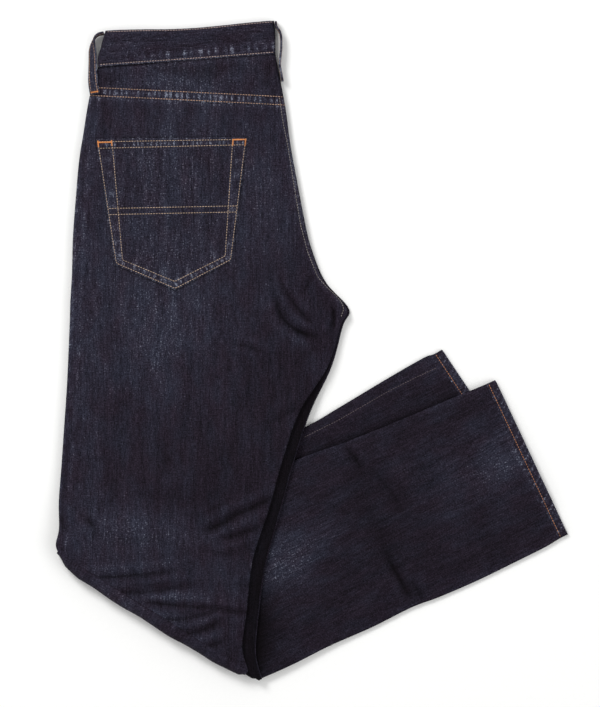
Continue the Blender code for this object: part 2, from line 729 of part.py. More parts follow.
def waistband():
    loops = []
    for i, (side_x, side_y, inner_x, inner_y) in enumerate(WAISTBAND_ROWS):
        side, inner = np.array((side_x, side_y)), np.array((inner_x, inner_y))
        points = folded_ring(float(np.linalg.norm(inner - side)))
        dip = WAISTBAND_DIP * i / (len(WAISTBAND_ROWS) - 1)
        loops.append(place_loop(points, side, inner, right_side_base, dip))
    return ring_wall("waistband", loops, WAISTBAND_WALL, "denim_band")


def hem(name, table, base):
    last = len(table) - 1
    run = float(np.linalg.norm(np.array(table[last][0:2]) - np.array(table[last - 1][0:2])))
    loops = []
    for place in spread(last - HEM_DEPTH / run, last, 4):
        row = smooth_row(table, place)
        points = flat_ring(float(np.linalg.norm(row[2:4] - row[0:2])), HEM_WALL, HEM_SLIT)
        loops.append(place_loop(points, row[0:2], row[2:4], base))
    return ring_wall(name, loops, HEM_WALL, "denim_face")


def strap(name, route, thickness=LOOP_THICKNESS):
    """A belt loop: a flat strap along its route, its width across the given direction."""
    places = spread(0.0, len(route) - 1, 2 * len(route) - 1)
    rows = [smooth_row(route, place) for place in places]
    middles = [row[0:3] for row in rows]
    sections = []
    for i, row in enumerate(rows):
        ahead = middles[min(i + 1, len(rows) - 1)] - middles[max(i - 1, 0)]
        ahead /= np.linalg.norm(ahead)
        across = row[3:6] - ahead * float(row[3:6] @ ahead)
        across /= np.linalg.norm(across)
        normal = np.cross(ahead, across)
        half_width, half = LOOP_WIDTH / 2, thickness / 2
        flat = (-half_width + STRAP_EDGE, half_width - STRAP_EDGE)
        face = [row[0:3] + across * w + normal * half for w in flat]
        inside = [row[0:3] + across * w - normal * half for w in flat]
        far = [row[0:3] + across * half_width]
        near = [row[0:3] - across * half_width]
        sections.append((face, inside, far, near))
    return cloth_wall(name, sections, "denim_face")


def side_loop_right():
    """The right side loop, pressed flat under the waistband and the yoke."""
    route = []
    for y in spread(SIDE_LOOP_RIGHT_Y[1], SIDE_LOOP_RIGHT_Y[0], 5):
        route.append((SIDE_LOOP_RIGHT_X, y, LOOP_THICKNESS / 2, 1.0, 0.0, 0.0))
    return strap("belt_loop_side_right", route)


def build():
    remove_old_objects()
    back_panel_left()
    front_panel_left()
    back_panel_right()
    folded_fronts()
    yoke("yoke_left", left_back_height, under=False)
    yoke("yoke_right", right_back_height, under=True)
    waistband()
    back_pockets()
    strap("belt_loop_side_left", SIDE_LOOP_LEFT)
    strap("belt_loop_centre_back", CENTRE_BACK_LOOP)
    side_loop_right()
    hem("hem_right_leg", RIGHT_CALF, right_calf_base)
    hem("hem_left_leg", LEFT_CALF, lambda p: 0.0)


build()
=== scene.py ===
# Slim jeans in dark indigo denim, folded in half and laid flat, as seen from straight above.
# Lengths are in millimetres until MM turns them into metres. +Y points to the waist, +Z up.
import math

import bmesh
import bpy
import numpy as np
from mathutils import Matrix, Vector
from mathutils.bvhtree import BVHTree


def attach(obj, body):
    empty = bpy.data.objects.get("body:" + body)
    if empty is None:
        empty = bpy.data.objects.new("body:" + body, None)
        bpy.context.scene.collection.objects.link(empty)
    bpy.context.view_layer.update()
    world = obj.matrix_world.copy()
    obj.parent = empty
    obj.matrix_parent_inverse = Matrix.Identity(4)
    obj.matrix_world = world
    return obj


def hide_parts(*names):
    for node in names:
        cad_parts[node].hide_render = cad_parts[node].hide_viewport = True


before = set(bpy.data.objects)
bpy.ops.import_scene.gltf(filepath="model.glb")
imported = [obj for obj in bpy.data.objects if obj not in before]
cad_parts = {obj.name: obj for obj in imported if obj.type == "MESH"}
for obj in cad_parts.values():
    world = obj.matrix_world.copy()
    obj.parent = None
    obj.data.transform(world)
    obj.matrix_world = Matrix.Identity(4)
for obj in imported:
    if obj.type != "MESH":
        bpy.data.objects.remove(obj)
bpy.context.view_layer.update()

MM = 0.001

# Sizes of the cloth and the heights of its layers, as the frame has them.
DENIM = 1.5
SHELL = 1.2
POCKET_WALL = 1.0
SEAM_GAP = 0.3
WAISTBAND_WALL = 2.2
WAISTBAND_SLIT = 0.5
HEM_WALL = 2.0
HEM_SLIT = 0.3
HEM_DEPTH = 12.0
HEM_STITCH_INSET = 2.5
LOOP_WIDTH = 12.0
LOOP_THICKNESS = 2.6
LOOP_STITCH_OUT = 3.9
LOOP_STITCH_SINK = 0.25
UNDER_LEG_TOP_WALL = 2.3
UNDER_LEG_STACK = 4.6
UPPER_LEG_TOP_WALL = 2.0
UPPER_LEG_STACK = 4.0
HIP_BACK_WALL = 9.0
HIP_CROWN = 3.0
CALF_CROWN = 3.0
CROWN_REACH = 35.0
EDGE_ROUND = 8.0
SIDE_CURL = 1.6
CENTRE_BACK_CURL = 3.3
LEG_SLACK = 0.4
CALF_CURL = 0.4
FRONT_CURL = 0.5
FRONT_CROWN = 1.4
FRONT_CROWN_REACH = 25.0
HEM_CALM = 60.0
UNDER_INSET = (1.5, 0.3)

# How cloth passes over what lies under it: a margin at full height, then a reach down to none
OVER_LEG_ABOVE = (10.0, 75.0)
OVER_LEG_BELOW = (12.0, 50.0)
OVER_LEG_CALF = (12.0, 34.0)
OVER_POCKET = (26.0, 30.0)
OVER_LOOP = (24.0, 28.0)
THIGH_OVER_CALF = (14.0, 70.0)
CALF_OVER_CALF = (8.0, 40.0)

# The thigh from the waist seam to the knee crease: side seam end, inner end, and how far the
# right leg below it lies beyond it.
# Columns: side_x, side_y, inner_x, inner_y, under_x, under_y
THIGH = (
    (-246.0, 327.0, -42.0, 342.0, 0, 0),
    (-256.0, 292.0, -30.5, 281.0, 0, 0),
    (-263.0, 250.0, -25.0, 240.0, 0, 0),
    (-268.0, 218.0, -17.0, 196.0, 0, 0),
    (-272.0, 172.0, -8.0, 149.0, 0, 0),
    (-275.0, 130.0, 0.0, 115.0, 1, 0),
    (-276.0, 91.0, 14.0, 80.0, 2, 0),
    (-278.0, 56.0, 40.0, 49.0, 3, 0),
    (-278.5, 36.0, 33.0, 29.0, 3, 0),
    (-280.0, 0.0, 18.0, -18.0, 5, 0),
    (-282.0, -42.0, -14.0, -69.0, 13, 0),
    (-285.0, -86.0, -34.0, -126.0, 14, 0),
    (-288.0, -130.0, -49.0, -180.0, 14, -2),
    (-291.0, -172.0, -68.0, -240.0, 16, -3),
    (-290.5, -203.0, -75.0, -300.0, 14, -5),
    (-294.0, -221.0, -80.0, -340.0, 16, -8),
    (-292.0, -230.0, -73.0, -366.0, 16, -10),
)
YOKE_SEAM_ROW = 1
CROTCH_Y = 45.0
CREASE_ROW = len(THIGH) - 1

# The lower legs from the knee crease to the hem, side seam end first.
# Columns: side_x, side_y, inner_x, inner_y
RIGHT_CALF = (
    (-276.0, -240.0, -57.0, -376.0),
    (-232.0, -220.0, -23.0, -361.0),
    (-175.0, -195.0, 21.0, -339.0),
    (-100.0, -161.0, 69.0, -318.0),
    (-18.0, -125.0, 115.0, -295.0),
    (37.0, -105.0, 147.0, -283.0),
    (90.0, -84.0, 191.0, -264.0),
    (142.0, -62.0, 234.0, -243.0),
    (183.0, -45.0, 268.0, -226.0),
    (200.0, -38.0, 284.0, -216.5),
    (211.0, -33.0, 295.0, -211.0),
)
LEFT_CALF = (
    (-292.0, -230.0, -73.0, -366.0),
    (-209.0, -188.0, -14.0, -326.0),
    (-117.0, -143.0, 46.0, -286.0),
    (-9.0, -88.0, 107.0, -247.0),
    (31.0, -65.0, 147.0, -222.0),
    (86.0, -32.0, 188.0, -199.0),
    (128.0, -8.0, 228.0, -177.0),
    (140.0, -3.5, 246.0, -165.0),
    (150.0, 2.0, 257.0, -158.0),
)

# How far the folded cloth bulges past the crease line. Columns: share across, bulge
BULGE = ((0.0, 7.0), (0.14, 14.5), (0.5, 15.5), (0.85, 14.0), (1.0, 10.5))

POCKET_OPENING = ((-248.0, 244.0), (-74.0, 246.0))
POCKET_BASE = ((-226.0, 99.0), (-157.0, 70.0), (-92.0, 104.0))
POCKET_POINT_SHARE = 0.515

WAISTBAND_ROWS = (
    (-246.0, 327.3, -42.0, 342.3),
    (-246.0, 338.0, -42.0, 352.0),
    (-242.8, 349.5, -42.0, 362.0),
    (-240.3, 359.0, -42.5, 371.5),
    (-237.5, 368.5, -43.5, 380.3),
)
WAISTBAND_DIP = 3.0
WAISTBAND_DEPTH = 38.0
WAISTBAND_TOP_LAYER = 9.0
CENTRE_FRONT_INSET = 16.0
RIGHT_SIDE_INSET = 3.0

# Belt loop routes: the strap's middle line and the direction of its width.
# Columns: x, y, z, across_x, across_y, across_z
SIDE_LOOP_LEFT = (
    (-239.3, 365.9, 7.2, 0.0, 0.15, 1.0),
    (-245.5, 364.6, 7.2, 0.0, 0.1, 1.0),
    (-250.0, 360.5, 7.2, 0.05, 0.05, 1.0),
    (-252.0, 353.5, 7.4, 0.4, 0.0, 0.92),
    (-252.4, 346.0, 8.0, 0.7, 0.0, 0.7),
    (-252.0, 335.0, 9.0, 0.8, 0.0, 0.6),
    (-252.0, 322.0, 10.6, 0.85, 0.0, 0.52),
    (-251.5, 309.0, 12.0, 1.0, 0.0, 0.32),
    (-249.3, 295.5, 12.9, 1.0, 0.0, 0.16),
)
CENTRE_BACK_LOOP = (
    (-41.6, 379.5, 6.2, 0.0, 0.0, 1.0),
    (-40.9, 373.5, 6.2, 0.0, 0.0, 1.0),
    (-37.2, 368.5, 6.2, 0.0, 0.0, 1.0),
    (-35.4, 361.0, 6.2, 0.0, 0.0, 1.0),
    (-35.4, 348.0, 6.2, 0.0, 0.0, 1.0),
    (-36.4, 338.0, 6.2, 0.0, 0.0, 1.0),
    (-37.0, 329.5, 6.2, 0.0, 0.0, 1.0),
    (-35.3, 320.0, 6.2, 0.0, 0.0, 1.0),
    (-33.7, 311.0, 6.2, 0.0, 0.0, 1.0),
)
SIDE_LOOP_RIGHT_X = -222.0
SIDE_LOOP_RIGHT_Y = (295.0, 366.0)

# Creases, listed one by one: three points of a soft curve, depth, half width and the height of the
# ridge that the cloth pushes up beside it.
# Columns: x1, y1, x2, y2, x3, y3, depth, half_width, ridge
THIGH_CREASES = (
    (-38, -164, -70, -180, -104, -194, 3.0, 5.0, 1.0),
    (-84, -188, -106, -199, -128, -207, 2.5, 5.0, 0.9),
    (-56, -199, -76, -207, -106, -216, 2.1, 4.5, 0.8),
    (-276, -261, -205, -257, -140, -249, 2.0, 5.0, 0.9),
    (-248, -277, -190, -276, -132, -266, 1.7, 4.5, 0.8),
    (-200, -286, -138, -293, -104, -292, 2.1, 4.5, 0.8),
    (-200, -306, -150, -307, -100, -294, 2.0, 4.5, 0.9),
    (-112, -294, -92, -298, -70, -299, 1.6, 4.0, 0.6),
    (-178, -321, -131, -322, -98, -300, 1.9, 4.5, 0.8),
    (-150, -341, -124, -340, -98, -330, 1.6, 4.0, 0.7),
    (-40, 72, -30, 34, 12, 16, 2.3, 5.0, 0.9),
    (-36, 83, -22, 56, 3, 29, 1.7, 4.0, 0.7),
    (1, 88, -5, 77, -10, 65, 1.5, 3.5, 0.5),
    (23, 54, 25, 40, 22, 24, 2.0, 2.6, 0.8),
    (-90, 8, -72, 5, -55, -4, 1.4, 4.0, 0.5),
    (-22, 25, -12, 21, -1, 15, 1.0, 5.0, 0.3),
    (-45, -81, -30, -72, -12, -60, 1.2, 6.0, 0.4),
    (-291, -182, -286, -198, -290, -210, 1.4, 6.0, 0.4),
    (-264, -190, -250, -203, -251, -216, 1.3, 4.0, 0.5),
    (-236, -146, -228, -160, -232, -178, 0.8, 6.0, 0.3),
    (-120, -228, -100, -232, -84, -229, 1.0, 4.0, 0.4),
    (-214, -268, -180, -267, -150, -261, 0.9, 3.5, 0.4),
    (-170, -299, -150, -300, -128, -300, 0.9, 3.5, 0.4),
    (-260, -184, -256, -193, -251, -202, 0.8, 5.0, 0.3),
    (-215, -160, -165, -168, -120, -165, 0.7, 11.0, 0.3),
    (-240, -222, -200, -216, -150, -222, 0.8, 9.0, 0.4),
    (-60, -262, -74, -268, -90, -268, 1.0, 5.0, 0.4),
)
RIGHT_CALF_CREASES = (
    (38, -110, 50, -124, 58, -139, 1.9, 4.5, 0.8),
    (85, -233, 98, -257, 115, -286, 1.8, 4.5, 0.8),
    (113, -262, 121, -274, 129, -289, 1.4, 4.0, 0.5),
    (60, -126, 88, -158, 112, -196, 1.3, 12.0, 0.6),
    (-20, -170, 30, -180, 60, -205, 0.6, 12.0, 0.3),
    (150, -100, 185, -128, 196, -160, 0.5, 12.0, 0.3),
)
LEFT_CALF_CREASES = (
    (20, -80, 34, -86, 52, -86, 0.8, 5.0, 0.3),
    (92, -40, 104, -50, 110, -60, 0.6, 6.0, 0.3),
)

# Fades and shades: centre, reach along and across, the way they lie in degrees, and strength.
# Columns: x, y, along, across, turn, strength
THIGH_FADES = (
    (-160, 6, 88, 70, 90, 0.25),
    (-172, 2, 48, 24, 90, 0.10),
    (-150, 180, 150, 125, 90, 0.42),
    (-210, 20, 120, 40, 90, 0.16),
    (-258, -60, 200, 22, 90, 0.26),
    (-175, -215, 72, 22, 4, 0.33),
    (-190, -252, 64, 10, 4, 0.34),
    (-175, -281, 62, 9, -1, 0.36),
    (-158, -306, 46, 8, 4, 0.34),
    (-140, -328, 38, 7, 8, 0.26),
    (-205, -195, 50, 30, 10, 0.20),
    (-110, -262, 44, 30, 0, 0.14),
    (-235, -215, 34, 50, 0, 0.12),
    (-190, -300, 30, 8, -31, 0.34),
    (-42, 180, 75, 34, 95, 0.20),
    (-130, 305, 110, 26, 0, 0.12),
)
# Painted shade in the thigh's soft folds, most of it round the crotch and its dark crease.
THIGH_SHADES = (
    (-60, -60, 130, 45, 60, 0.06),
    (-36, 96, 26, 14, 50, 0.14),
    (-120, -196, 30, 7, -26, 0.16),
    (24, 36, 18, 4, 85, 0.26),
)
YOKE_CREASES = (
    (-180, 325, -154, 316, -134, 322, 0.9, 5.0, 0.4),
    (-134, 322, -122, 312, -104, 318, 0.8, 5.0, 0.4),
    (-243, 318, -230, 308, -212, 314, 0.8, 4.0, 0.4),
    (-78, 330, -64, 318, -52, 324, 0.6, 5.0, 0.3),
)
# Painted shade in the yoke's soft folds.
YOKE_SHADES = (
    (-48, 312, 30, 14, 80, 0.18),
    (-236, 314, 18, 8, -20, 0.30),
    (-158, 324, 30, 7, -12, 0.34),
    (-120, 321, 15, 10, 30, 0.32),
    (-90, 328, 26, 6, 6, 0.20),
)
YOKE_FADES = (
    (-186, 313, 30, 11, 6, 0.16),
    (-140, 308, 34, 9, -6, 0.12),
)
POCKET_FADES = (
    (-186, 198, 50, 32, 90, 0.13),
    (-142, 126, 32, 26, 60, 0.10),
)
POCKET_SHADES = (
    (-114, 220, 24, 18, 0, 0.14),
    (-158, 150, 26, 10, 0, 0.10),
    (-206, 236, 40, 8, 0, 0.12),
)
RIGHT_CALF_FADES = (
    (-40, -244, 40, 22, 40, 0.30),
    (-30, -232, 62, 44, 60, 0.30),
    (-10, -240, 80, 20, 27, 0.12),
    (222, -126, 34, 26, 27, 0.17),
    (206, -130, 58, 42, 27, 0.22),
    (176, -142, 74, 40, 27, 0.12),
)
# Painted shade on the calf: soft dark bands along its folds and the painted shadow at the knee's tip
# (strength 1.0). The broad row at (70, -200) darkens the middle of the calf's cloth.
RIGHT_CALF_SHADES = (
    (66, -182, 52, 11, -59, 0.34),
    (52, -134, 24, 9, -62, 0.22),
    (103, -262, 30, 9, -56, 0.34),
    (84, -228, 24, 10, -40, 0.16),
    (70, -200, 110, 60, 27, 0.16),
    (-62, -328, 54, 24, 82, 1.0),
    (225, -62, 36, 14, -63, 0.12),
)
LEFT_CALF_FADES = (
    (132, -12, 34, 14, 28, 0.24),
)

# Colours as they look on the real cloth and thread.
PLUM_TONES = ("#0b080d", "#201a24", "#322b38", "#6a6570")
SLATE_TONES = ("#0e0d14", "#22222e", "#343543", "#7a7f8e")
TONE_PLACES = (0.0, 0.34, 0.66, 1.0)
# Painted shade: the dull brown-black tint that the cloth's colour is multiplied towards where its shade
# attribute is high.
PAINTED_SHADE_TINT = (0.20, 0.17, 0.17, 1.0)
THREAD_WAIST = "#a8928c"
THREAD_YOKE = "#b08c74"
THREAD_POCKET = "#ae9680"
THREAD_HEM = "#ad7148"
THREAD_TACK = "#d5853f"
THREAD_SEAM = "#8a827c"
THREAD_SIDE = "#54474a"
PAPER_WHITE = "#fafaf9"


# Curves, distances and soft shapes

def smooth_row(table, place):
    """A table's row at a fractional place, on a smooth curve through its rows."""
    last = len(table) - 1
    first = min(int(place), last - 1)
    t = place - first
    a, b, c, d = [np.array(table[min(max(first + k, 0), last)], float) for k in (-1, 0, 1, 2)]
    linear = (c - a) * t
    square = (2 * a - 5 * b + 4 * c - d) * t * t
    cube = (3 * b - a - 3 * c + d) * t ** 3
    return 0.5 * (2 * b + linear + square + cube)


def ease(t):
    t = np.clip(t, 0.0, 1.0)
    return t * t * (3.0 - 2.0 * t)


def edge_line(table, side, per_row=4):
    count = (len(table) - 1) * per_row + 1
    rows = [smooth_row(table, place) for place in np.linspace(0, len(table) - 1, count)]
    return np.array([row[2 * side:2 * side + 2] for row in rows])


def outline_of(table):
    return np.concatenate([edge_line(table, 0), edge_line(table, 1)[::-1]])


def along_line(points, line):
    """For each plan point: its distance to a line, and how far along the line that is."""
    line = np.asarray(line, float)
    steps = np.linalg.norm(np.diff(line, axis=0), axis=1)
    starts = np.concatenate([[0.0], np.cumsum(steps)])
    best = np.full(len(points), 1e9)
    place = np.zeros(len(points))
    for i, step in enumerate(steps):
        run = line[i + 1] - line[i]
        t = np.clip((points - line[i]) @ run / max(step * step, 1e-9), 0.0, 1.0)
        distance = np.linalg.norm(points - line[i] - t[:, None] * run, axis=1)
        closer = distance < best
        best[closer] = distance[closer]
        place[closer] = starts[i] + t[closer] * step
    return best, place


def line_distance(points, line):
    return along_line(points, line)[0]


def is_inside(points, outline):
    inside = np.zeros(len(points), bool)
    x, y = points[:, 0], points[:, 1]
    for (x1, y1), (x2, y2) in zip(outline, np.roll(outline, 1, axis=0)):
        if y1 == y2:
            continue
        crossing = ((y1 > y) != (y2 > y)) & (x < (x2 - x1) * (y - y1) / (y2 - y1) + x1)
        inside ^= crossing
    return inside


def cover(points, outline, margin_and_reach):
    """1 over an outline and a margin round it, falling smoothly to 0 at the reach."""
    margin, reach = margin_and_reach
    closed = np.concatenate([outline, outline[:1]])
    distance = line_distance(points, closed)
    near = 1.0 - ease((distance - margin) / reach)
    return np.where(is_inside(points, outline), 1.0, near)


THIGH_SIDE = edge_line(THIGH, 0)
THIGH_INNER = edge_line(THIGH, 1)
THIGH_OUTLINE = outline_of(THIGH)
UNDER_THIGH = [(r[0] + r[4], r[1] + r[5], r[2] + r[4], r[3] + r[5]) for r in THIGH]
UNDER_SIDE = edge_line(UNDER_THIGH, 0)
UNDER_INNER = edge_line(UNDER_THIGH, 1)
RIGHT_CALF_OUTLINE = outline_of(RIGHT_CALF)
LEFT_CALF_OUTLINE = outline_of(LEFT_CALF)
RIGHT_CALF_EDGES = (edge_line(RIGHT_CALF, 0), edge_line(RIGHT_CALF, 1))
LEFT_CALF_EDGES = (edge_line(LEFT_CALF, 0), edge_line(LEFT_CALF, 1))
POCKET_OUTLINE = np.array(POCKET_OPENING + POCKET_BASE[::-1])
SIDE_LOOP_RIGHT_OUTLINE = np.array([
    (SIDE_LOOP_RIGHT_X + side * LOOP_WIDTH / 2, SIDE_LOOP_RIGHT_Y[end])
    for side, end in ((-1, 0), (1, 0), (1, 1), (-1, 1))
])


def curve_points(row, count=13):
    """A soft curve through a crease's three points."""
    first, middle, last = (np.array(row[k:k + 2], float) for k in (0, 2, 4))
    t = np.linspace(0.0, 1.0, count)[:, None]
    handle = 2 * middle - (first + last) / 2
    return (1 - t) ** 2 * first + 2 * t * (1 - t) * handle + t * t * last


def creases(points, table):
    """Height of the cloth over its plain form: soft troughs with a ridge along each side."""
    height = np.zeros(len(points))
    for row in table:
        depth, half_width, ridge = row[6:]
        distance, place = along_line(points, curve_points(row))
        length = place.max() if place.size else 1.0
        end_fade = ease(np.minimum(place, length - place) / (0.35 * length) + 0.25)
        soft = np.exp(-(distance / half_width) ** 2)
        trough = -depth * (0.6 * soft + 0.4 * np.exp(-distance / (0.35 * half_width)))
        beside = ridge * np.exp(-((distance - 2.1 * half_width) / (0.9 * half_width)) ** 2)
        height += (trough + beside) * end_fade * (distance < 5 * half_width)
    return height


def crease_lines(points, table):
    """How near each point is to the sharp bottom of a crease, 1 at the bottom."""
    near = np.zeros(len(points))
    for row in table:
        distance, place = along_line(points, curve_points(row))
        length = place.max() if place.size else 1.0
        end_fade = ease(np.minimum(place, length - place) / (0.35 * length) + 0.15)
        near += np.exp(-(distance / 2.0) ** 2) * end_fade * min(1.0, row[6] / 2.2)
    return near


def crown(distance, height):
    return height * (1.0 - np.exp(-distance / CROWN_REACH))


def curl(distance, amount):
    return amount * np.maximum(0.0, 1.0 - distance / EDGE_ROUND) ** 2


def ripple(place, wavelength, seed):
    """An uneven wave along a seam, from three waves that never repeat together."""
    phase = 1.7 * seed
    turn = 2 * math.pi / wavelength
    wave = np.sin(place * turn + phase) + 0.6 * np.sin(place * turn * 1.37 + 2.1 * phase + 1.0)
    return (wave + 0.5 * np.sin(place * turn * 0.53 + 3.3 * phase)) / 2.1


def waver(points, size, seed):
    """Soft, slow waves of a cloth that lies loosely, about one unit high."""
    x, y = points[:, 0] / size, points[:, 1] / size
    a = np.sin(1.9 * x + 0.7 * y + seed) * np.cos(1.1 * y - 0.6 * x + 2.0 * seed)
    b = np.sin(3.1 * y - 1.3 * x + 1.3 * seed) * np.cos(2.3 * x + 0.4 * seed)
    return 0.65 * a + 0.35 * b


def edge_curl(points, side_line, inner_line):
    side = line_distance(points, side_line)
    inner = line_distance(points, inner_line)
    at_centre_back = (inner < side) & (points[:, 1] > CROTCH_Y)
    return np.minimum(side, inner), np.where(at_centre_back, CENTRE_BACK_CURL, SIDE_CURL)


# Plain heights of each layer, as the frame has them

def right_side_base(points):
    legs = UNDER_LEG_STACK * cover(points, LEFT_CALF_OUTLINE, OVER_LEG_BELOW)
    legs += (UPPER_LEG_STACK + LEG_SLACK) * cover(points, RIGHT_CALF_OUTLINE, OVER_LEG_BELOW)
    sewn_on = (DENIM + SEAM_GAP) * cover(points, POCKET_OUTLINE, OVER_POCKET)
    loop = (LOOP_THICKNESS + SEAM_GAP) * cover(points, SIDE_LOOP_RIGHT_OUTLINE, OVER_LOOP)
    return legs + np.maximum(sewn_on, loop)


def left_back_height(points):
    distance, amount = edge_curl(points, THIGH_SIDE, THIGH_INNER)
    legs = UNDER_LEG_STACK * cover(points, LEFT_CALF_OUTLINE, OVER_LEG_ABOVE)
    legs += (UPPER_LEG_STACK + LEG_SLACK) * cover(points, RIGHT_CALF_OUTLINE, OVER_LEG_ABOVE)
    return HIP_BACK_WALL + legs + crown(distance, HIP_CROWN) - curl(distance, amount)


def right_back_height(points):
    distance, amount = edge_curl(points, UNDER_SIDE, UNDER_INNER)
    return right_side_base(points) + curl(distance, amount)


def right_calf_base(points):
    return UNDER_LEG_STACK * cover(points, LEFT_CALF_OUTLINE, OVER_LEG_CALF)


def right_calf_loose(points):
    """How far the right calf's upper wall is free of the thigh above it and of its hem."""
    hem_line = np.array([RIGHT_CALF_EDGES[0][-1], RIGHT_CALF_EDGES[1][-1]])
    hem_share = np.minimum(1.0, line_distance(points, hem_line) / HEM_CALM)
    return (1.0 - cover(points, THIGH_OUTLINE, THIGH_OVER_CALF)) * hem_share


def right_calf_height(points):
    distance = np.minimum(*(line_distance(points, edge) for edge in RIGHT_CALF_EDGES))
    height = right_calf_base(points) + UPPER_LEG_TOP_WALL
    height += right_calf_loose(points) * crown(distance, CALF_CROWN)
    return height - curl(distance, CALF_CURL)


def left_calf_height(points):
    loose = 1.0 - cover(points, RIGHT_CALF_OUTLINE, CALF_OVER_CALF)
    distance = np.minimum(*(line_distance(points, edge) for edge in LEFT_CALF_EDGES))
    rise = FRONT_CROWN * loose * ease(distance / FRONT_CROWN_REACH)
    return UNDER_LEG_TOP_WALL + rise - curl(distance, FRONT_CURL)


# Seam lines in plan, along which the cloth puckers and the thread runs

def section_line(table, place, shift=0.0, count=40, trim=(0.0, 0.0)):
    """A line across a table's section, moved along the leg by shift towards its first row."""
    row = smooth_row(table, place)
    side, inner = row[0:2], row[2:4]
    across = (inner - side) / np.linalg.norm(inner - side)
    along = np.array((-across[1], across[0]))
    start = side + across * trim[0] + along * shift
    end = inner - across * trim[1] + along * shift
    return start + (end - start) * np.linspace(0, 1, count)[:, None]


YOKE_SEAM = section_line(THIGH, YOKE_SEAM_ROW)
WAIST_SEAM = section_line(THIGH, 0)

# The yoke and the fronts come down to the waistband's height over this reach.
WAIST_SEAM_TOP = 10.9
WAIST_SEAM_REACH = 13.0


def meet_waistband(points, height, seam_top):
    """Lowers what is higher than the waistband towards it, along the waist seam."""
    near = np.exp(-(line_distance(points, WAIST_SEAM) / WAIST_SEAM_REACH) ** 2)
    return height - np.maximum(height - seam_top, 0.0) * near


def seam_relief(points, line, groove=0.35, pucker=0.3, wavelength=8.0, reach=5.0, seed=1.0):
    """A stitched line: a narrow groove under the thread, with the cloth puckered beside it."""
    distance, place = along_line(points, line)
    height = -groove * np.exp(-(distance / 1.1) ** 2)
    beside = np.exp(-(distance / reach) ** 2) * (1.0 - 0.5 * np.exp(-(distance / 1.5) ** 2))
    return height + pucker * beside * ripple(place, wavelength, seed)


def seam_wear(points, line, reach=2.2, wavelength=9.0, seed=1.0):
    """Where a raised seam edge has rubbed pale, in uneven patches."""
    distance, place = along_line(points, line)
    patches = 0.55 + 0.45 * ripple(place, wavelength, seed)
    return np.exp(-(distance / reach) ** 2) * np.clip(patches, 0.05, 1.0)


def rope_wear(points, line, reach, pitch, seed, slant=0.0):
    """Short pale dashes across a seam, where the wash has rubbed its ripples."""
    distance, place = along_line(points, line)
    wave = ripple(place + slant * distance, pitch, seed)
    return np.exp(-(distance / reach) ** 2) * np.clip(1.7 * wave + 0.1, 0.0, 1.0)


def fades(points, table):
    total = np.zeros(len(points))
    for x, y, along, across, turn, strength in table:
        angle = math.radians(turn)
        dx, dy = points[:, 0] - x, points[:, 1] - y
        a = (dx * math.cos(angle) + dy * math.sin(angle)) / along
        b = (dy * math.cos(angle) - dx * math.sin(angle)) / across
        total += strength * np.exp(-(a * a + b * b))
    return total


# Meshes

FACE_UP = (0, 0, 1)
FACE_DOWN = (0, 0, -1)


def new_piece(name, mesh, material, node_slot, *nodes):
    piece = bpy.data.objects.new(name, mesh)
    bpy.context.scene.collection.objects.link(piece)
    mesh.materials.append(material)
    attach(piece, "root")
    if nodes:
        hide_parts(*nodes)
    return piece


def cloth_grid(name, grid, cloth_place, looks, upwards, closed=False):
    """A sheet of cloth as a fine grid of rows and columns. cloth_place holds each point's place on
    the flat cloth, looks its fade, wear and shade, and upwards a (row, column, direction) test
    of which side is the face."""
    rows, columns = grid.shape[:2]
    sheet = bmesh.new()
    bmesh.ops.create_grid(sheet, x_segments=columns - 1, y_segments=rows - 1, size=1.0)
    sheet.verts.ensure_lookup_table()
    flat = grid.reshape(-1, 3) * MM
    for vertex, place in zip(sheet.verts, flat):
        vertex.co = place
    uv = sheet.loops.layers.uv.new("cloth")
    places = cloth_place.reshape(-1, 2) * MM
    layers = {key: sheet.verts.layers.float.new(key) for key in looks}
    for key, values in looks.items():
        for vertex, value in zip(sheet.verts, np.clip(values.ravel(), 0.0, 1.0)):
            vertex[layers[key]] = value
    for face in sheet.faces:
        for loop in face.loops:
            loop[uv].uv = places[loop.vert.index]
    sheet.normal_update()
    row, column, direction = upwards
    if sheet.verts[row * columns + column].normal.dot(Vector(direction)) < 0:
        bmesh.ops.reverse_faces(sheet, faces=sheet.faces)
    if closed:
        bmesh.ops.remove_doubles(sheet, verts=sheet.verts, dist=1e-6)
    mesh = bpy.data.meshes.new(name)
    sheet.to_mesh(mesh)
    sheet.free()
    mesh.shade_smooth()
    return mesh


def add_wall(piece, thickness):
    wall = piece.modifiers.new("wall", "SOLIDIFY")
    wall.thickness = thickness * MM
    wall.offset = -1.0
    wall.use_even_offset = False
    wall.use_rim = True
    return wall


def surface_tree(mesh):
    corners = [vertex.co.copy() for vertex in mesh.vertices]
    return BVHTree.FromPolygons(corners, [tuple(face.vertices) for face in mesh.polygons])


def cloth_piece(name, node, material, grid, places, looks, upwards, wall=SHELL, closed=False):
    """A piece of cloth with its wall, and its outer face for what is sewn onto it."""
    mesh = cloth_grid(name, grid, places, looks, upwards, closed)
    face = surface_tree(mesh)
    piece = new_piece(name, mesh, material, "denim", node)
    add_wall(piece, wall)
    return piece, face


def plan_grid(table, places, columns, inset=(0.0, 0.0), under=False):
    """Plan points of the sections at the given places, each with its share across and width."""
    rows, widths = [], []
    for place in places:
        row = smooth_row(table, place)
        side, inner = row[0:2].copy(), row[2:4].copy()
        if under:
            side += row[4:6]
            inner += row[4:6]
        across = (inner - side) / np.linalg.norm(inner - side)
        side += across * inset[0]
        inner -= across * inset[1]
        rows.append(side + (inner - side) * np.linspace(0, 1, columns)[:, None])
        widths.append(np.linalg.norm(inner - side))
    return np.array(rows), np.array(widths)


def with_height(plan, height):
    flat = plan.reshape(-1, 2)
    return np.concatenate([flat, height(flat)[:, None]], axis=1).reshape(*plan.shape[:2], 3)


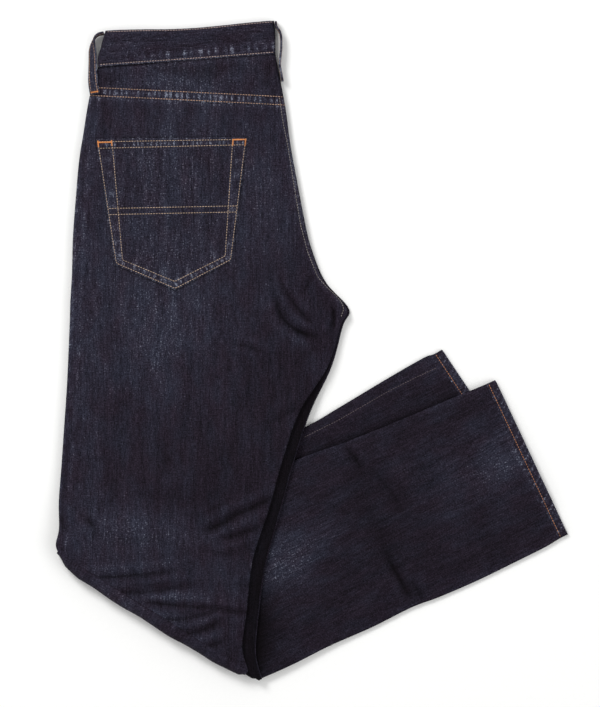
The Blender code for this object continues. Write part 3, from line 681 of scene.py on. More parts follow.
# The calf's warp, in degrees from +Y
CALF_TURN = -63.0
CREASE_RUN = np.array((THIGH[-1][2] - THIGH[-1][0], THIGH[-1][3] - THIGH[-1][1]))
OUTWARD = np.array((CREASE_RUN[1], -CREASE_RUN[0])) / np.linalg.norm(CREASE_RUN)


def bend_grid(top, bottom, reach, steps):
    """Rows that turn round the knee crease, each column along half an oval."""
    rows = []
    for i in range(1, steps):
        t = i / steps
        angle = math.pi * t
        row = top + (bottom - top) * t
        out = reach * math.sin(angle)
        middle = (top[:, 2] + bottom[:, 2]) / 2
        half = (top[:, 2] - bottom[:, 2]) / 2
        row[:, 0] += OUTWARD[0] * out
        row[:, 1] += OUTWARD[1] * out
        row[:, 2] = middle + half * math.cos(angle)
        rows.append(row)
    return np.array(rows)


def cloth_places(grid, first=0, last=None, turn=0.0):
    """Each point's place on the flat cloth. Rows first to last lie flat with their warp turned
    by turn degrees from +Y, and the rows before and after them carry on round the bend."""
    last = len(grid) if last is None else last
    angle = math.radians(turn)
    warp = np.array((-math.sin(angle), math.cos(angle)))
    weft = np.array((math.cos(angle), math.sin(angle)))
    places = np.stack([grid[:, :, :2] @ weft, grid[:, :, :2] @ warp], axis=2)
    steps = np.linalg.norm(np.diff(grid, axis=0), axis=2)
    way = np.sign((places[last - 1] - places[first])[:, 1].mean()) or 1.0
    for i in range(last, len(grid)):
        places[i] = places[i - 1] + np.stack([steps[i - 1] * 0, way * steps[i - 1]], axis=1)
    for i in range(first - 1, -1, -1):
        places[i] = places[i + 1] - np.stack([steps[i] * 0, way * steps[i]], axis=1)
    return places


# Materials

def linear(hex_colour):
    """An sRGB hex colour as linear red, green, blue and alpha."""
    values = [int(hex_colour[k:k + 2], 16) / 255 for k in (1, 3, 5)]
    return [v / 12.92 if v <= 0.04045 else ((v + 0.055) / 1.055) ** 2.4 for v in values] + [1.0]


def add_node(tree, kind, inputs=(), output=0, **settings):
    """Adds a node and returns one of its outputs. Inputs are values or other nodes' outputs, by
    name or in order, and settings are the node's own."""
    node = tree.nodes.new(kind)
    for key, value in settings.items():
        setattr(node, key, value)
    for key, value in inputs.items() if isinstance(inputs, dict) else enumerate(inputs):
        if isinstance(value, bpy.types.NodeSocket):
            tree.links.new(value, node.inputs[key])
        else:
            node.inputs[key].default_value = value
    return node.outputs[output]


MATH = "ShaderNodeMath"
NOISE = "ShaderNodeTexNoise"

# Layers of unevenness in the cloth: size across and along the warp in mm, detail, roughness,
# and weight in the weave. The real warp pitch of about 0.5 mm is drawn at 1.3 mm so that it shows.
CLOTH_LAYERS = {
    "fleck": (1.3, 1.7, 1.0, 0.5, 1.40),
    "warp": (1.5, 8.0, 2.0, 0.6, 0.95),
    "weft": (6.0, 1.5, 1.0, 0.5, 0.45),
    "slub": (2.3, 34.0, 2.0, 0.6, 0.75),
    "broad": (9.0, 110.0, 2.0, 0.5, 0.40),
    "cloud": (26.0, 34.0, 3.0, 0.6, 0.0),
    "tint": (19.0, 40.0, 2.0, 0.55, 0.0),
}


# How dye, fading and weave make the tone of the cloth, from 0 near black to 1 pale
DYE_LEVEL = 0.155
FADE_LEVEL = 0.42
WEAVE_CONTRAST = 0.60
FADE_CONTRAST = 0.42
CLOUD_WEIGHT = 0.22
SALT_START = 0.60
SALT_STEEPNESS = 3.0
SALT_WEIGHT = 0.13
RUBBED_FLECK = 0.50
RUBBED_LEVEL = 0.22


def denim(name, base_fade=0.0, grain=1.0):
    """Indigo cotton twill, woven from dyed warp and pale weft, then washed: near black with a
    plum cast where the dye is whole, slate blue where it has faded, flecked and streaked along
    the warp, and rubbed pale where the wash has worn its edges."""
    material = bpy.data.materials.new(name)
    material.use_nodes = True
    tree = material.node_tree
    shader = tree.nodes["Principled BSDF"]
    cloth = add_node(tree, "ShaderNodeUVMap", uv_map="cloth")
    fade, wear, shade = [add_node(tree, "ShaderNodeAttribute", output="Fac", attribute_name=key)
                         for key in ("fade", "wear", "shade")]
    faded = add_node(tree, MATH, (fade, base_fade), operation="ADD", use_clamp=True)
    layers, weave = {}, 0.0
    for key, (across, along, detail, roughness, weight) in CLOTH_LAYERS.items():
        scale = (1.0 / (across * MM), 1.0 / (along * MM), 1.0)
        place = add_node(tree, "ShaderNodeMapping", {"Vector": cloth, "Scale": scale})
        layers[key] = add_node(tree, NOISE, {"Vector": place, "Scale": 1.0, "Detail": detail,
                                             "Roughness": roughness})
        offset = add_node(tree, MATH, (layers[key], 0.5), operation="SUBTRACT")
        weave = add_node(tree, MATH, (offset, weight, weave), operation="MULTIPLY_ADD")
    gain = add_node(tree, MATH, (faded, FADE_CONTRAST, WEAVE_CONTRAST * grain),
                    operation="MULTIPLY_ADD")
    level = add_node(tree, MATH, (faded, FADE_LEVEL, DYE_LEVEL), operation="MULTIPLY_ADD")
    level = add_node(tree, MATH, (layers["cloud"], CLOUD_WEIGHT, level), operation="MULTIPLY_ADD")
    level = add_node(tree, MATH, (weave, gain, level), operation="MULTIPLY_ADD")
    salt = add_node(tree, MATH, (layers["fleck"], SALT_START), operation="SUBTRACT")
    salt = add_node(tree, MATH, (salt, SALT_STEEPNESS), operation="MULTIPLY", use_clamp=True)
    salt = add_node(tree, MATH, (salt, SALT_WEIGHT), operation="MULTIPLY")
    level = add_node(tree, MATH, (salt, gain, level), operation="MULTIPLY_ADD")
    rubbed = add_node(tree, MATH, (layers["fleck"], RUBBED_FLECK, RUBBED_LEVEL),
                      operation="MULTIPLY_ADD")
    level = add_node(tree, MATH, (wear, rubbed, level), operation="MULTIPLY_ADD", use_clamp=True)
    hue = add_node(tree, MATH, (layers["tint"], 2.3, -1.035), operation="MULTIPLY_ADD")
    hue = add_node(tree, MATH, (faded, 1.3, hue), operation="MULTIPLY_ADD")
    hue = add_node(tree, MATH, (wear, 0.5, hue), operation="MULTIPLY_ADD", use_clamp=True)
    colour = add_node(tree, "ShaderNodeMix", {0: hue}, output=2, data_type="RGBA")
    for key, tones in ((6, PLUM_TONES), (7, SLATE_TONES)):
        ramp = add_node(tree, "ShaderNodeValToRGB", (level,))
        stops = ramp.node.color_ramp.elements
        for place in TONE_PLACES[1:-1]:
            stops.new(place)
        for stop, place, tone in zip(stops, TONE_PLACES, tones):
            stop.position, stop.color = place, linear(tone)
        tree.links.new(ramp, colour.node.inputs[key])
    # Painted shade: the shade attribute darkens the cloth's colour towards the brown-black tint in
    # creases, folds and beside overlapping layers.
    painted_shade_colour = add_node(tree, "ShaderNodeMix", {0: shade, 6: colour, 7: PAINTED_SHADE_TINT}, output=2,
                    data_type="RGBA", blend_type="MULTIPLY")
    tree.links.new(painted_shade_colour, shader.inputs["Base Color"])
    rough = add_node(tree, MATH, (layers["fleck"], 0.2, 0.72), operation="MULTIPLY_ADD")
    tree.links.new(rough, shader.inputs["Roughness"])
    relief = add_node(tree, MATH, (layers["fleck"], layers["warp"]), operation="ADD")
    relief = add_node(tree, MATH, (layers["weft"], 0.45, relief), operation="MULTIPLY_ADD")
    bump = add_node(tree, "ShaderNodeBump", {"Height": relief, "Strength": 0.6, "Distance": 0.55 * MM})
    tree.links.new(bump, shader.inputs["Normal"])
    shader.inputs["Specular IOR Level"].default_value = 0.06
    shader.inputs["Sheen Weight"].default_value = 0.015
    shader.inputs["Sheen Roughness"].default_value = 0.5
    return material


def thread(name, hex_colour):
    """Twisted polyester-cotton topstitch thread: a soft shine and a fine twist along it."""
    material = bpy.data.materials.new(name)
    material.use_nodes = True
    tree = material.node_tree
    shader = tree.nodes["Principled BSDF"]
    place = add_node(tree, "ShaderNodeTexCoord", output="Object")
    uneven = add_node(tree, NOISE, {"Vector": place, "Scale": 1.0 / (9.0 * MM), "Detail": 3.0,
                                    "Roughness": 0.6})
    base = linear(hex_colour)
    colour = add_node(tree, "ShaderNodeValToRGB", (uneven,))
    for stop, place_on, light in zip(colour.node.color_ramp.elements, (0.30, 0.70), (0.50, 1.25)):
        stop.position = place_on
        stop.color = [min(1.0, value * light) for value in base[:3]] + [1.0]
    tree.links.new(colour, shader.inputs["Base Color"])
    twist = add_node(tree, NOISE, {"Vector": place, "Scale": 1.0 / (0.5 * MM), "Detail": 2.0,
                                   "Roughness": 0.6})
    bump = add_node(tree, "ShaderNodeBump", {"Height": twist, "Strength": 0.4, "Distance": 0.2 * MM})
    tree.links.new(bump, shader.inputs["Normal"])
    rough = add_node(tree, MATH, (twist, 0.2, 0.5), operation="MULTIPLY_ADD")
    tree.links.new(rough, shader.inputs["Roughness"])
    shader.inputs["Sheen Weight"].default_value = 0.1
    return material


DENIM_BODY = denim("indigo_denim_washed")
DENIM_SEWN = denim("indigo_denim_sewn_layers", base_fade=0.05, grain=1.15)
THREADS = {
    "waist": thread("topstitch_thread_russet", THREAD_WAIST),
    "yoke": thread("topstitch_thread_amber", THREAD_YOKE),
    "pocket": thread("topstitch_thread_gold", THREAD_POCKET),
    "hem": thread("topstitch_thread_copper", THREAD_HEM),
    "tack": thread("bar_tack_thread_orange", THREAD_TACK),
    "seam": thread("seam_thread_tan", THREAD_SEAM),
    "side": thread("seam_thread_brown", THREAD_SIDE),
}


# Lines of the back pocket

def pocket_point(u, v):
    """A plan point of the pocket: u across its opening, v from the opening to its base."""
    top = np.array(POCKET_OPENING[0]) * (1 - u) + np.array(POCKET_OPENING[1]) * u
    if u < POCKET_POINT_SHARE:
        part = u / POCKET_POINT_SHARE
        base = np.array(POCKET_BASE[0]) * (1 - part) + np.array(POCKET_BASE[1]) * part
    else:
        part = (u - POCKET_POINT_SHARE) / (1 - POCKET_POINT_SHARE)
        base = np.array(POCKET_BASE[1]) * (1 - part) + np.array(POCKET_BASE[2]) * part
    return top * (1 - v) + base * v


def corner_line(points, per_side=24):
    line = []
    for start, end in zip(points[:-1], points[1:]):
        for t in np.linspace(0, 1, per_side)[:-1]:
            line.append(np.array(start) * (1 - t) + np.array(end) * t)
    line.append(np.array(points[-1]))
    return np.array(line)


POCKET_SIDES = corner_line([POCKET_OPENING[0], POCKET_BASE[0], POCKET_BASE[1], POCKET_BASE[2],
                            POCKET_OPENING[1]])
POCKET_RIM = corner_line([POCKET_OPENING[0], POCKET_BASE[0], POCKET_BASE[1], POCKET_BASE[2],
                          POCKET_OPENING[1], POCKET_OPENING[0]])
POCKET_OUTER_STITCH = corner_line([(-246.0, 241.4), (-224.7, 101.3), (-156.9, 72.3), (-93.5, 105.3),
                                   (-76.2, 243.6)])
POCKET_INNER_STITCH = corner_line([(-229.6, 241.6), (-217.6, 105.0), (-157.6, 80.2), (-99.6, 109.4),
                                   (-91.0, 243.6)])
POCKET_HEM_STITCH = (corner_line([(-245.2, 240.6), (-77.0, 243.4)]),
                     corner_line([(-243.8, 233.2), (-78.0, 237.2)]))
POCKET_ROWS = (corner_line([(-233.5, 164.0), (-85.5, 167.0)]),
               corner_line([(-232.6, 157.0), (-86.4, 160.0)]))
CENTRE_BACK_STITCH = np.array([
    (-37.5, 292.0), (-33.0, 262.0), (-27.0, 232.0), (-21.5, 196.0), (-13.0, 145.0), (-5.2, 115.0),
    (6.6, 85.5), (18.2, 72.6), (28.0, 64.0), (34.6, 55.5), (36.6, 48.5), (33.4, 39.5)])


# The left back panel: the top of the thigh, round the knee crease, then the floor side of the calf

ROW_PITCH = 42.0
TUCK = 1.2
THIGH_STEPS = 300
CREASE_STEPS = 22
LEG_COLUMNS = 120


def place_above_hem(table, distance):
    """Place in a leg's table that lies a distance above the hem's end, along the side seam."""
    last = len(table) - 1
    run = np.linalg.norm(np.array(table[last][0:2]) - np.array(table[last - 1][0:2]))
    return last - distance / run


def panel_end(table):
    """Place in a leg's table where its panel ends, tucked a little into the hem."""
    return place_above_hem(table, HEM_DEPTH - TUCK / 2)


def left_back_top(points):
    """Outer face of the thigh with its creases, puckers and slow waves."""
    height = left_back_height(points) + DENIM
    inner = np.minimum(line_distance(points, THIGH_SIDE), line_distance(points, THIGH_INNER))
    height += creases(points, THIGH_CREASES) * ease(inner / 13.0)
    height += 0.55 * waver(points, 62.0, 2.0) * ease(inner / 30.0)
    height += 0.28 * waver(points, 23.0, 5.0) * ease(inner / 20.0) * ease((40.0 - points[:, 1]) / 300.0)
    height += seam_relief(points, CENTRE_BACK_STITCH, 0.4, 0.30, 9.0, 6.0, 3.0)
    height += seam_relief(points, YOKE_SEAM, 0.0, 0.30, 11.0, 9.0, 4.0)
    height += seam_relief(points, THIGH_SIDE, 0.0, 0.35, 17.0, 8.0, 6.0)
    pocket = line_distance(points, POCKET_RIM)
    height += 0.25 * np.exp(-(pocket / 6.0) ** 2) * ripple(points[:, 0] + points[:, 1], 14.0, 2.0)
    return height


def left_back_looks(points):
    fade = fades(points, THIGH_FADES)
    trough = -creases(points, THIGH_CREASES)
    fade += 0.20 * np.clip(-trough, 0.0, 1.0)
    side, side_place = along_line(points, THIGH_SIDE)
    inner, inner_place = along_line(points, THIGH_INNER)
    fade += 0.16 * np.exp(-(side / 13.0) ** 2) * (0.8 + 0.4 * ripple(side_place, 31.0, 3.0))
    wear = 0.60 * np.exp(-(side / 3.0) ** 2) * (0.6 + 0.5 * ripple(side_place, 14.0, 1.0))
    wear += 0.45 * np.exp(-(inner / 2.5) ** 2) * (0.5 + 0.5 * ripple(inner_place, 8.0, 2.0))
    wear += 0.55 * seam_wear(points, YOKE_SEAM, 3.0, 9.0, 4.0)
    wear += 0.45 * np.exp(-((side - 11.5) / 2.4) ** 2) * (0.5 + 0.5 * ripple(side_place, 37.0, 5.0))
    at_centre_back = ease((points[:, 1] - CROTCH_Y + 15.0) / 20.0)
    wear += 0.62 * at_centre_back * np.exp(-((inner - 3.0) / 3.2) ** 2) * (
        0.62 + 0.38 * ripple(inner_place, 6.0, 2.0))
    rim, rim_place = along_line(points, POCKET_RIM)
    wear += 0.30 * np.exp(-(rim / 3.0) ** 2) * (0.5 + 0.5 * ripple(rim_place, 10.0, 7.0))
    # Painted shade: darker in the crease troughs and along their bottoms, a painted shadow round the
    # outside of the pocket, and the soft shade rows of the thigh.
    shade = 0.16 * np.clip(trough, 0.0, 2.0) + 0.55 * crease_lines(points, THIGH_CREASES)
    beside_pocket = ~is_inside(points, np.array(POCKET_RIM[:-1]))
    shade += 0.55 * beside_pocket * np.exp(-(rim / 1.8) ** 2) + fades(points, THIGH_SHADES)
    return {"fade": fade, "wear": wear, "shade": shade}


def looks_grid(looks, shape):
    return {key: values.reshape(shape) for key, values in looks.items()}


def join_looks(*parts):
    return {key: np.concatenate([part[key] for part in parts]) for key in parts[0]}


def plain_looks(shape, fade=0.0, wear=0.0, shade=0.0):
    return {"fade": np.full(shape, fade), "wear": np.full(shape, wear),
            "shade": np.full(shape, shade)}


def left_back_panel():
    places = np.linspace(YOKE_SEAM_ROW - TUCK / ROW_PITCH, CREASE_ROW, THIGH_STEPS)
    plan, _ = plan_grid(THIGH, places, LEG_COLUMNS)
    top = with_height(plan, left_back_top)
    top_looks = looks_grid(left_back_looks(plan.reshape(-1, 2)), plan.shape[:2])
    calf_places = np.linspace(0.0, panel_end(LEFT_CALF), 66)
    calf_plan, _ = plan_grid(LEFT_CALF, calf_places, LEG_COLUMNS)
    under = with_height(calf_plan, lambda p: np.zeros(len(p)))
    share = np.linspace(0, 1, LEG_COLUMNS)
    reach = np.interp(share, *zip(*BULGE))
    reach = reach * (0.40 + 0.60 * ease(share / 0.07)) * (0.7 + 0.3 * ease((1.0 - share) / 0.03))
    reach = reach + 0.8 * np.sin(share * 23.0) * np.sin(share * math.pi)
    bend = bend_grid(top[-1], under[0], reach, CREASE_STEPS)
    bend_plan = np.repeat(plan[-1:], len(bend), axis=0)
    bend_looks = looks_grid(left_back_looks(bend_plan.reshape(-1, 2)), bend_plan.shape[:2])
    bend_looks["wear"] = bend_looks["wear"] + 0.20 + 0.35 * np.exp(-((share - 0.36) / 0.14) ** 2)
    grid = np.concatenate([top, bend, under])
    looks = join_looks(top_looks, bend_looks, plain_looks(under.shape[:2], fade=0.08))
    places = cloth_places(grid, 0, len(top))
    return cloth_piece("left_back_panel", "back_panel_left", DENIM_BODY, grid, places, looks,
                       (50, 50, FACE_UP))


# The right back panel: the floor side of the thigh, a tight turn, then the calf that shows

CALF_STEPS = 210


def right_calf_top(points):
    height = right_calf_height(points) + DENIM
    loose = right_calf_loose(points)
    height += loose * creases(points, RIGHT_CALF_CREASES)
    height += loose * 0.5 * waver(points, 55.0, 7.0)
    for k, edge in enumerate(RIGHT_CALF_EDGES):
        height += loose * seam_relief(points, edge, 0.0, 0.30, 16.0, 8.0, 2.0 + k)
    return height


def right_calf_looks(points):
    fade = fades(points, RIGHT_CALF_FADES)
    trough = -creases(points, RIGHT_CALF_CREASES)
    fade += 0.15 * np.clip(-trough, 0.0, 1.0)
    wear = np.zeros(len(points))
    for k, edge in enumerate(RIGHT_CALF_EDGES):
        distance, place = along_line(points, edge)
        fade += 0.10 * np.exp(-(distance / 9.0) ** 2)
        wear += 0.28 * np.exp(-(distance / 2.5) ** 2) * (0.5 + 0.5 * ripple(place, 13.0, 4.0 + k))
    hem_line = section_line(RIGHT_CALF, len(RIGHT_CALF) - 2)
    from_hem, place_on_hem = along_line(points, hem_line)
    worn_end = np.exp(-((place_on_hem - 108.0) / 46.0) ** 2)
    wear += 0.34 * worn_end * np.exp(-((from_hem - 1.5) / 2.6) ** 2)
    wear += 0.25 * rope_wear(points, hem_line, 6.0, 8.0, 3.0)
    # Painted shade: a painted shadow where the calf runs under the thigh, darker crease troughs and
    # bottoms, and the calf's shade rows.
    thigh_shadow = cover(points, THIGH_OUTLINE, (0.0, 26.0))
    shade = 0.16 * np.clip(trough, 0.0, 2.0) + 0.45 * thigh_shadow + fades(points, RIGHT_CALF_SHADES)
    shade += 0.40 * crease_lines(points, RIGHT_CALF_CREASES)
    return {"fade": fade, "wear": wear, "shade": shade}


def right_back_panel():
    places = np.linspace(YOKE_SEAM_ROW + SEAM_GAP / ROW_PITCH, CREASE_ROW, 90)
    plan, _ = plan_grid(THIGH, places, LEG_COLUMNS, UNDER_INSET, under=True)
    under = with_height(plan, right_back_height)
    calf_places = np.linspace(0.0, panel_end(RIGHT_CALF), CALF_STEPS)
    calf_plan, _ = plan_grid(RIGHT_CALF, calf_places, LEG_COLUMNS)
    top = with_height(calf_plan, right_calf_top)
    turn = (under[-1, :, 2] - top[0, :, 2]).mean() / 2 + SEAM_GAP
    bend = bend_grid(under[-1], top[0], np.full(LEG_COLUMNS, turn), 6)
    grid = np.concatenate([under, bend, top])
    calf_looks = looks_grid(right_calf_looks(calf_plan.reshape(-1, 2)), calf_plan.shape[:2])
    # Painted shade on the tight turn between the thigh's floor side and the calf.
    looks = join_looks(plain_looks(under.shape[:2], fade=0.10), plain_looks(bend.shape[:2], shade=0.8),
                       calf_looks)
    places = cloth_places(grid, len(under) + len(bend), len(grid), CALF_TURN)
    return cloth_piece("right_back_panel", "back_panel_right", DENIM_BODY, grid, places, looks,
                       (len(grid) - 30, 50, FACE_UP))


# The left front, which shows as a strip of calf behind the right leg

OUTSEAM_LINE = np.array([(-9.0, -99.0), (29.0, -80.2), (58.0, -63.5), (86.4, -47.0), (118.0, -31.0),
                         (143.4, -19.2)])


def left_calf_top(points):
    loose = 1.0 - cover(points, RIGHT_CALF_OUTLINE, (2.0, 14.0))
    height = left_calf_height(points) + DENIM
    height += loose * creases(points, LEFT_CALF_CREASES)
    return height + loose * seam_relief(points, OUTSEAM_LINE, 0.4, 0.25, 9.0, 5.0, 2.0)


def left_calf_looks(points):
    fade = fades(points, LEFT_CALF_FADES)
    distance, place = along_line(points, LEFT_CALF_EDGES[0])
    wear = 0.30 * np.exp(-(distance / 2.5) ** 2) * (0.5 + 0.5 * ripple(place, 12.0, 5.0))
    wear += 0.30 * seam_wear(points, OUTSEAM_LINE, 2.5, 8.0, 1.0)
    wear += 0.35 * rope_wear(points, section_line(LEFT_CALF, len(LEFT_CALF) - 2), 5.0, 8.0, 5.0)
    # Painted shade: the strip of calf is darkened beside the right calf and under the thigh, where they
    # cast shadow on it.
    beside = cover(points, RIGHT_CALF_OUTLINE, (0.0, 18.0))
    under_thigh = cover(points, THIGH_OUTLINE, (0.0, 22.0))
    return {"fade": fade, "wear": wear, "shade": 0.45 * np.maximum(beside, under_thigh)}


def left_front_panel():
    places = np.linspace(0.03, panel_end(LEFT_CALF), 170)
    plan, _ = plan_grid(LEFT_CALF, places, 90, (0.4, 0.4))
    top = with_height(plan, left_calf_top)
    looks = looks_grid(left_calf_looks(plan.reshape(-1, 2)), plan.shape[:2])
    places = cloth_places(top, turn=CALF_TURN)
    return cloth_piece("left_front_panel", "front_panel_left", DENIM_BODY, top, places, looks,
                       (40, 40, FACE_UP))


# The fronts inside the fold, seen only as layered edges

def inner_layers():
    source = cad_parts["folded_fronts"].data
    stack = bmesh.new()
    stack.from_mesh(source)
    bmesh.ops.remove_doubles(stack, verts=stack.verts, dist=1e-6)
    bmesh.ops.subdivide_edges(stack, edges=stack.edges, cuts=1, use_grid_fill=True)
    bmesh.ops.smooth_vert(stack, verts=stack.verts, factor=0.3, use_axis_x=True, use_axis_y=True,
                          use_axis_z=True)
    heights = np.array([vertex.co.z for vertex in stack.verts]) / MM
    plan = np.array([vertex.co.xy for vertex in stack.verts]) / MM
    heights = meet_waistband(plan, heights, WAIST_SEAM_TOP - SHELL - 0.5)
    for vertex, height in zip(stack.verts, heights):
        vertex.co.z = height * MM
    uv = stack.loops.layers.uv.new("cloth")
    layers = [stack.verts.layers.float.new(key) for key in ("fade", "wear", "shade")]
    # Painted shade: the folded fronts are darkened all over (shade 0.9), as they lie in shadow between the
    # legs' edges.
    for vertex in stack.verts:
        vertex[layers[0]] = 0.05
        vertex[layers[2]] = 0.9
    for face in stack.faces:
        for loop in face.loops:
            loop[uv].uv = loop.vert.co.xy
    mesh = bpy.data.meshes.new("folded_front_panels")
    stack.to_mesh(mesh)
    stack.free()
    mesh.shade_smooth()
    return new_piece("folded_front_panels", mesh, DENIM_BODY, "denim", "folded_fronts")


# Yokes

YOKE_STITCH = (section_line(THIGH, YOKE_SEAM_ROW, 2.2), section_line(THIGH, YOKE_SEAM_ROW, 11.5))


def yoke_top(points):
    height = left_back_height(points) + DENIM + 0.5
    height += seam_relief(points, YOKE_STITCH[0], 0.4, 0.28, 10.0, 5.0, 4.0)
    height += seam_relief(points, YOKE_STITCH[1], 0.4, 0.22, 9.0, 5.0, 2.0)
    near_waist = np.exp(-(line_distance(points, WAIST_SEAM) / 6.0) ** 2)
    height += 0.30 * near_waist * ripple(points[:, 0], 12.0, 1.0)
    height += seam_relief(points, CENTRE_BACK_STITCH, 0.4, 0.3, 9.0, 6.0, 3.0)
    from_seams = np.minimum(line_distance(points, WAIST_SEAM), line_distance(points, YOKE_STITCH[1]))
    height += creases(points, YOKE_CREASES) * ease(from_seams / 9.0)
    height -= 0.5 * np.exp(-(line_distance(points, YOKE_SEAM) / 1.0) ** 2)
    return meet_waistband(points, height, WAIST_SEAM_TOP)


def yoke_looks(points):
    fade = fades(points, THIGH_FADES) + fades(points, YOKE_FADES)
    wear = 0.85 * seam_wear(points, section_line(THIGH, YOKE_SEAM_ROW, 0.6), 1.6, 8.0, 4.0)
    wear += 1.25 * rope_wear(points, section_line(THIGH, YOKE_SEAM_ROW, 6.8), 3.2, 6.4, 2.0)
    wear += 0.40 * seam_wear(points, section_line(THIGH, 0, -3.0), 3.5, 10.0, 5.0)
    side = line_distance(points, THIGH_SIDE)
    fade += 0.14 * np.exp(-(side / 13.0) ** 2)
    # Painted shade: a painted shadow along the waist seam under the waistband, and the soft fold shade of
    # the yoke's rows.
    shade = 0.5 * np.exp(-(line_distance(points, WAIST_SEAM) / 2.0) ** 2) + fades(points, YOKE_SHADES)
    return {"fade": fade, "wear": wear, "shade": shade}


def yokes():
    gap = SEAM_GAP / ROW_PITCH
    places = np.linspace(gap, YOKE_SEAM_ROW - gap, 34)
    plan, _ = plan_grid(THIGH, places, 130)
    top = with_height(plan, yoke_top)
    looks = looks_grid(yoke_looks(plan.reshape(-1, 2)), plan.shape[:2])
    left, tree = cloth_piece("left_back_yoke", "yoke_left", DENIM_SEWN, top, cloth_places(top),
                             looks, (15, 60, FACE_UP))
    plan, _ = plan_grid(THIGH, places, 100, UNDER_INSET, under=True)
    under = with_height(plan, right_back_height)
    looks = looks_grid(yoke_looks(plan.reshape(-1, 2)), plan.shape[:2])
    right, under_tree = cloth_piece("right_back_yoke", "yoke_right", DENIM_SEWN, under,
                                    cloth_places(under), looks, (15, 60, FACE_DOWN))
    return left, right, tree, under_tree


# Back pockets

def pocket_grid(rows=110, columns=110):
    return np.array([[pocket_point(u, v) for u in np.linspace(0, 1, columns)]
                     for v in np.linspace(0, 1, rows)])


def pocket_relief(points):
    rim = line_distance(points, POCKET_RIM)
    sides = line_distance(points, POCKET_SIDES)
    opening = line_distance(points, np.array(POCKET_OPENING))
    height = 0.9 * ease(rim / 30.0) - 1.0 * np.exp(-(sides / 1.3) ** 2)
    height += 0.8 * np.exp(-(opening / 7.0) ** 2) * ease(sides / 25.0)
    for k, line in enumerate((POCKET_OUTER_STITCH, POCKET_INNER_STITCH, *POCKET_HEM_STITCH, *POCKET_ROWS)):
        height += seam_relief(points, line, 0.35, 0.16, 8.0, 4.0, 1.0 + k)
    return height + 0.25 * waver(points, 34.0, 3.0)


def pocket_looks(points):
    fade = 0.09 + 0.42 * fades(points, THIGH_FADES) + fades(points, POCKET_FADES)
    fade += 0.06 * waver(points, 45.0, 1.0)
    rim, place = along_line(points, POCKET_RIM)
    wear = 0.75 * np.exp(-(rim / 1.5) ** 2) * (0.5 + 0.5 * ripple(place, 9.0, 3.0))
    wear += 0.30 * seam_wear(points, POCKET_OUTER_STITCH, 2.5, 8.0, 2.0)
    wear += 0.28 * seam_wear(points, POCKET_INNER_STITCH, 2.2, 8.0, 5.0)
    middles = (np.array(POCKET_HEM_STITCH[0]) + POCKET_HEM_STITCH[1]) / 2
    wear += 1.0 * rope_wear(points, middles, 2.8, 5.2, 6.0)
    foot = corner_line([(-221.0, 103.4), (-157.2, 76.2), (-96.6, 107.2)])
    wear += 0.9 * rope_wear(points, foot, 2.4, 6.6, 2.0)
    for k, side_strip in enumerate(([(-237.6, 238.0), (-221.0, 106.0)], [(-83.8, 240.0), (-96.6, 108.0)])):
        wear += 0.45 * rope_wear(points, corner_line(side_strip), 3.6, 19.0, 5.0 + 3 * k)
    wear += 0.35 * rope_wear(points, foot + (0.0, 9.0), 6.0, 17.0, 4.0)
    return {"fade": fade, "wear": wear, "shade": fades(points, POCKET_SHADES)}


def back_pockets():
    plan = pocket_grid()
    seat = 2 * DENIM + SEAM_GAP
    top = with_height(plan, lambda p: left_back_height(p) + seat + pocket_relief(p))
    looks = looks_grid(pocket_looks(plan.reshape(-1, 2)), plan.shape[:2])
    left, tree = cloth_piece("left_back_pocket", "back_pocket_left", DENIM_SEWN, top,
                             cloth_places(top), looks, (50, 50, FACE_UP), POCKET_WALL)
    under = with_height(plan, lambda p: 0.25 * np.exp(-(line_distance(p, POCKET_RIM) / 1.3) ** 2))
    right, under_tree = cloth_piece("right_back_pocket", "back_pocket_right", DENIM_SEWN, under,
                                    cloth_places(under), looks, (50, 50, FACE_DOWN), POCKET_WALL)
    return left, right, tree, under_tree


# Waistband and hems: folded and flattened rings

def arc(centre, radius, start, end, steps):
    angles = np.radians(np.linspace(start, end, steps + 1))
    return [(centre[0] + radius * math.cos(a), centre[1] + radius * math.sin(a)) for a in angles]


def run_between(start, end, height, count):
    return [(x, height) for x in np.linspace(start, end, count)[1:-1]]


def folded_ring(width, columns=78):
    """Outer line of the waistband's section: back, front, front and back, folded on each other."""
    pitch = WAISTBAND_WALL + WAISTBAND_SLIT
    half = WAISTBAND_WALL / 2
    levels = [half + i * pitch for i in range(4)]
    turn = pitch / 2
    big = (levels[3] - levels[0]) / 2
    side_top, side_low = half + turn, RIGHT_SIDE_INSET + half + turn
    back = width - half - big
    front = width - CENTRE_FRONT_INSET
    points = arc((back, levels[0] + big), big + half, -90, 90, 14)
    points += run_between(back, side_top, levels[3] + half, columns)
    points += arc((side_top, levels[2] + turn), turn + half, 90, 270, 8)
    points += run_between(side_top, front, levels[2] - half, columns)
    points += arc((front, levels[1] + turn), turn - half, 90, -90, 4)
    points += run_between(front, side_low, levels[1] + half, columns)
    points += arc((side_low, levels[0] + turn), turn + half, 90, 270, 8)
    points += run_between(side_low, back, levels[0] - half, columns)
    return points + points[:1]


def flat_ring(width, wall, slit, columns=70):
    turn = (wall + slit) / 2
    half = wall / 2
    ends = (half + turn, width - half - turn)
    points = arc((ends[1], half + turn), turn + half, -90, 90, 8)
    points += run_between(ends[1], ends[0], 2 * (half + turn), columns)
    points += arc((ends[0], half + turn), turn + half, 90, 270, 8)
    points += run_between(ends[0], ends[1], 0.0, columns)
    return points + points[:1]


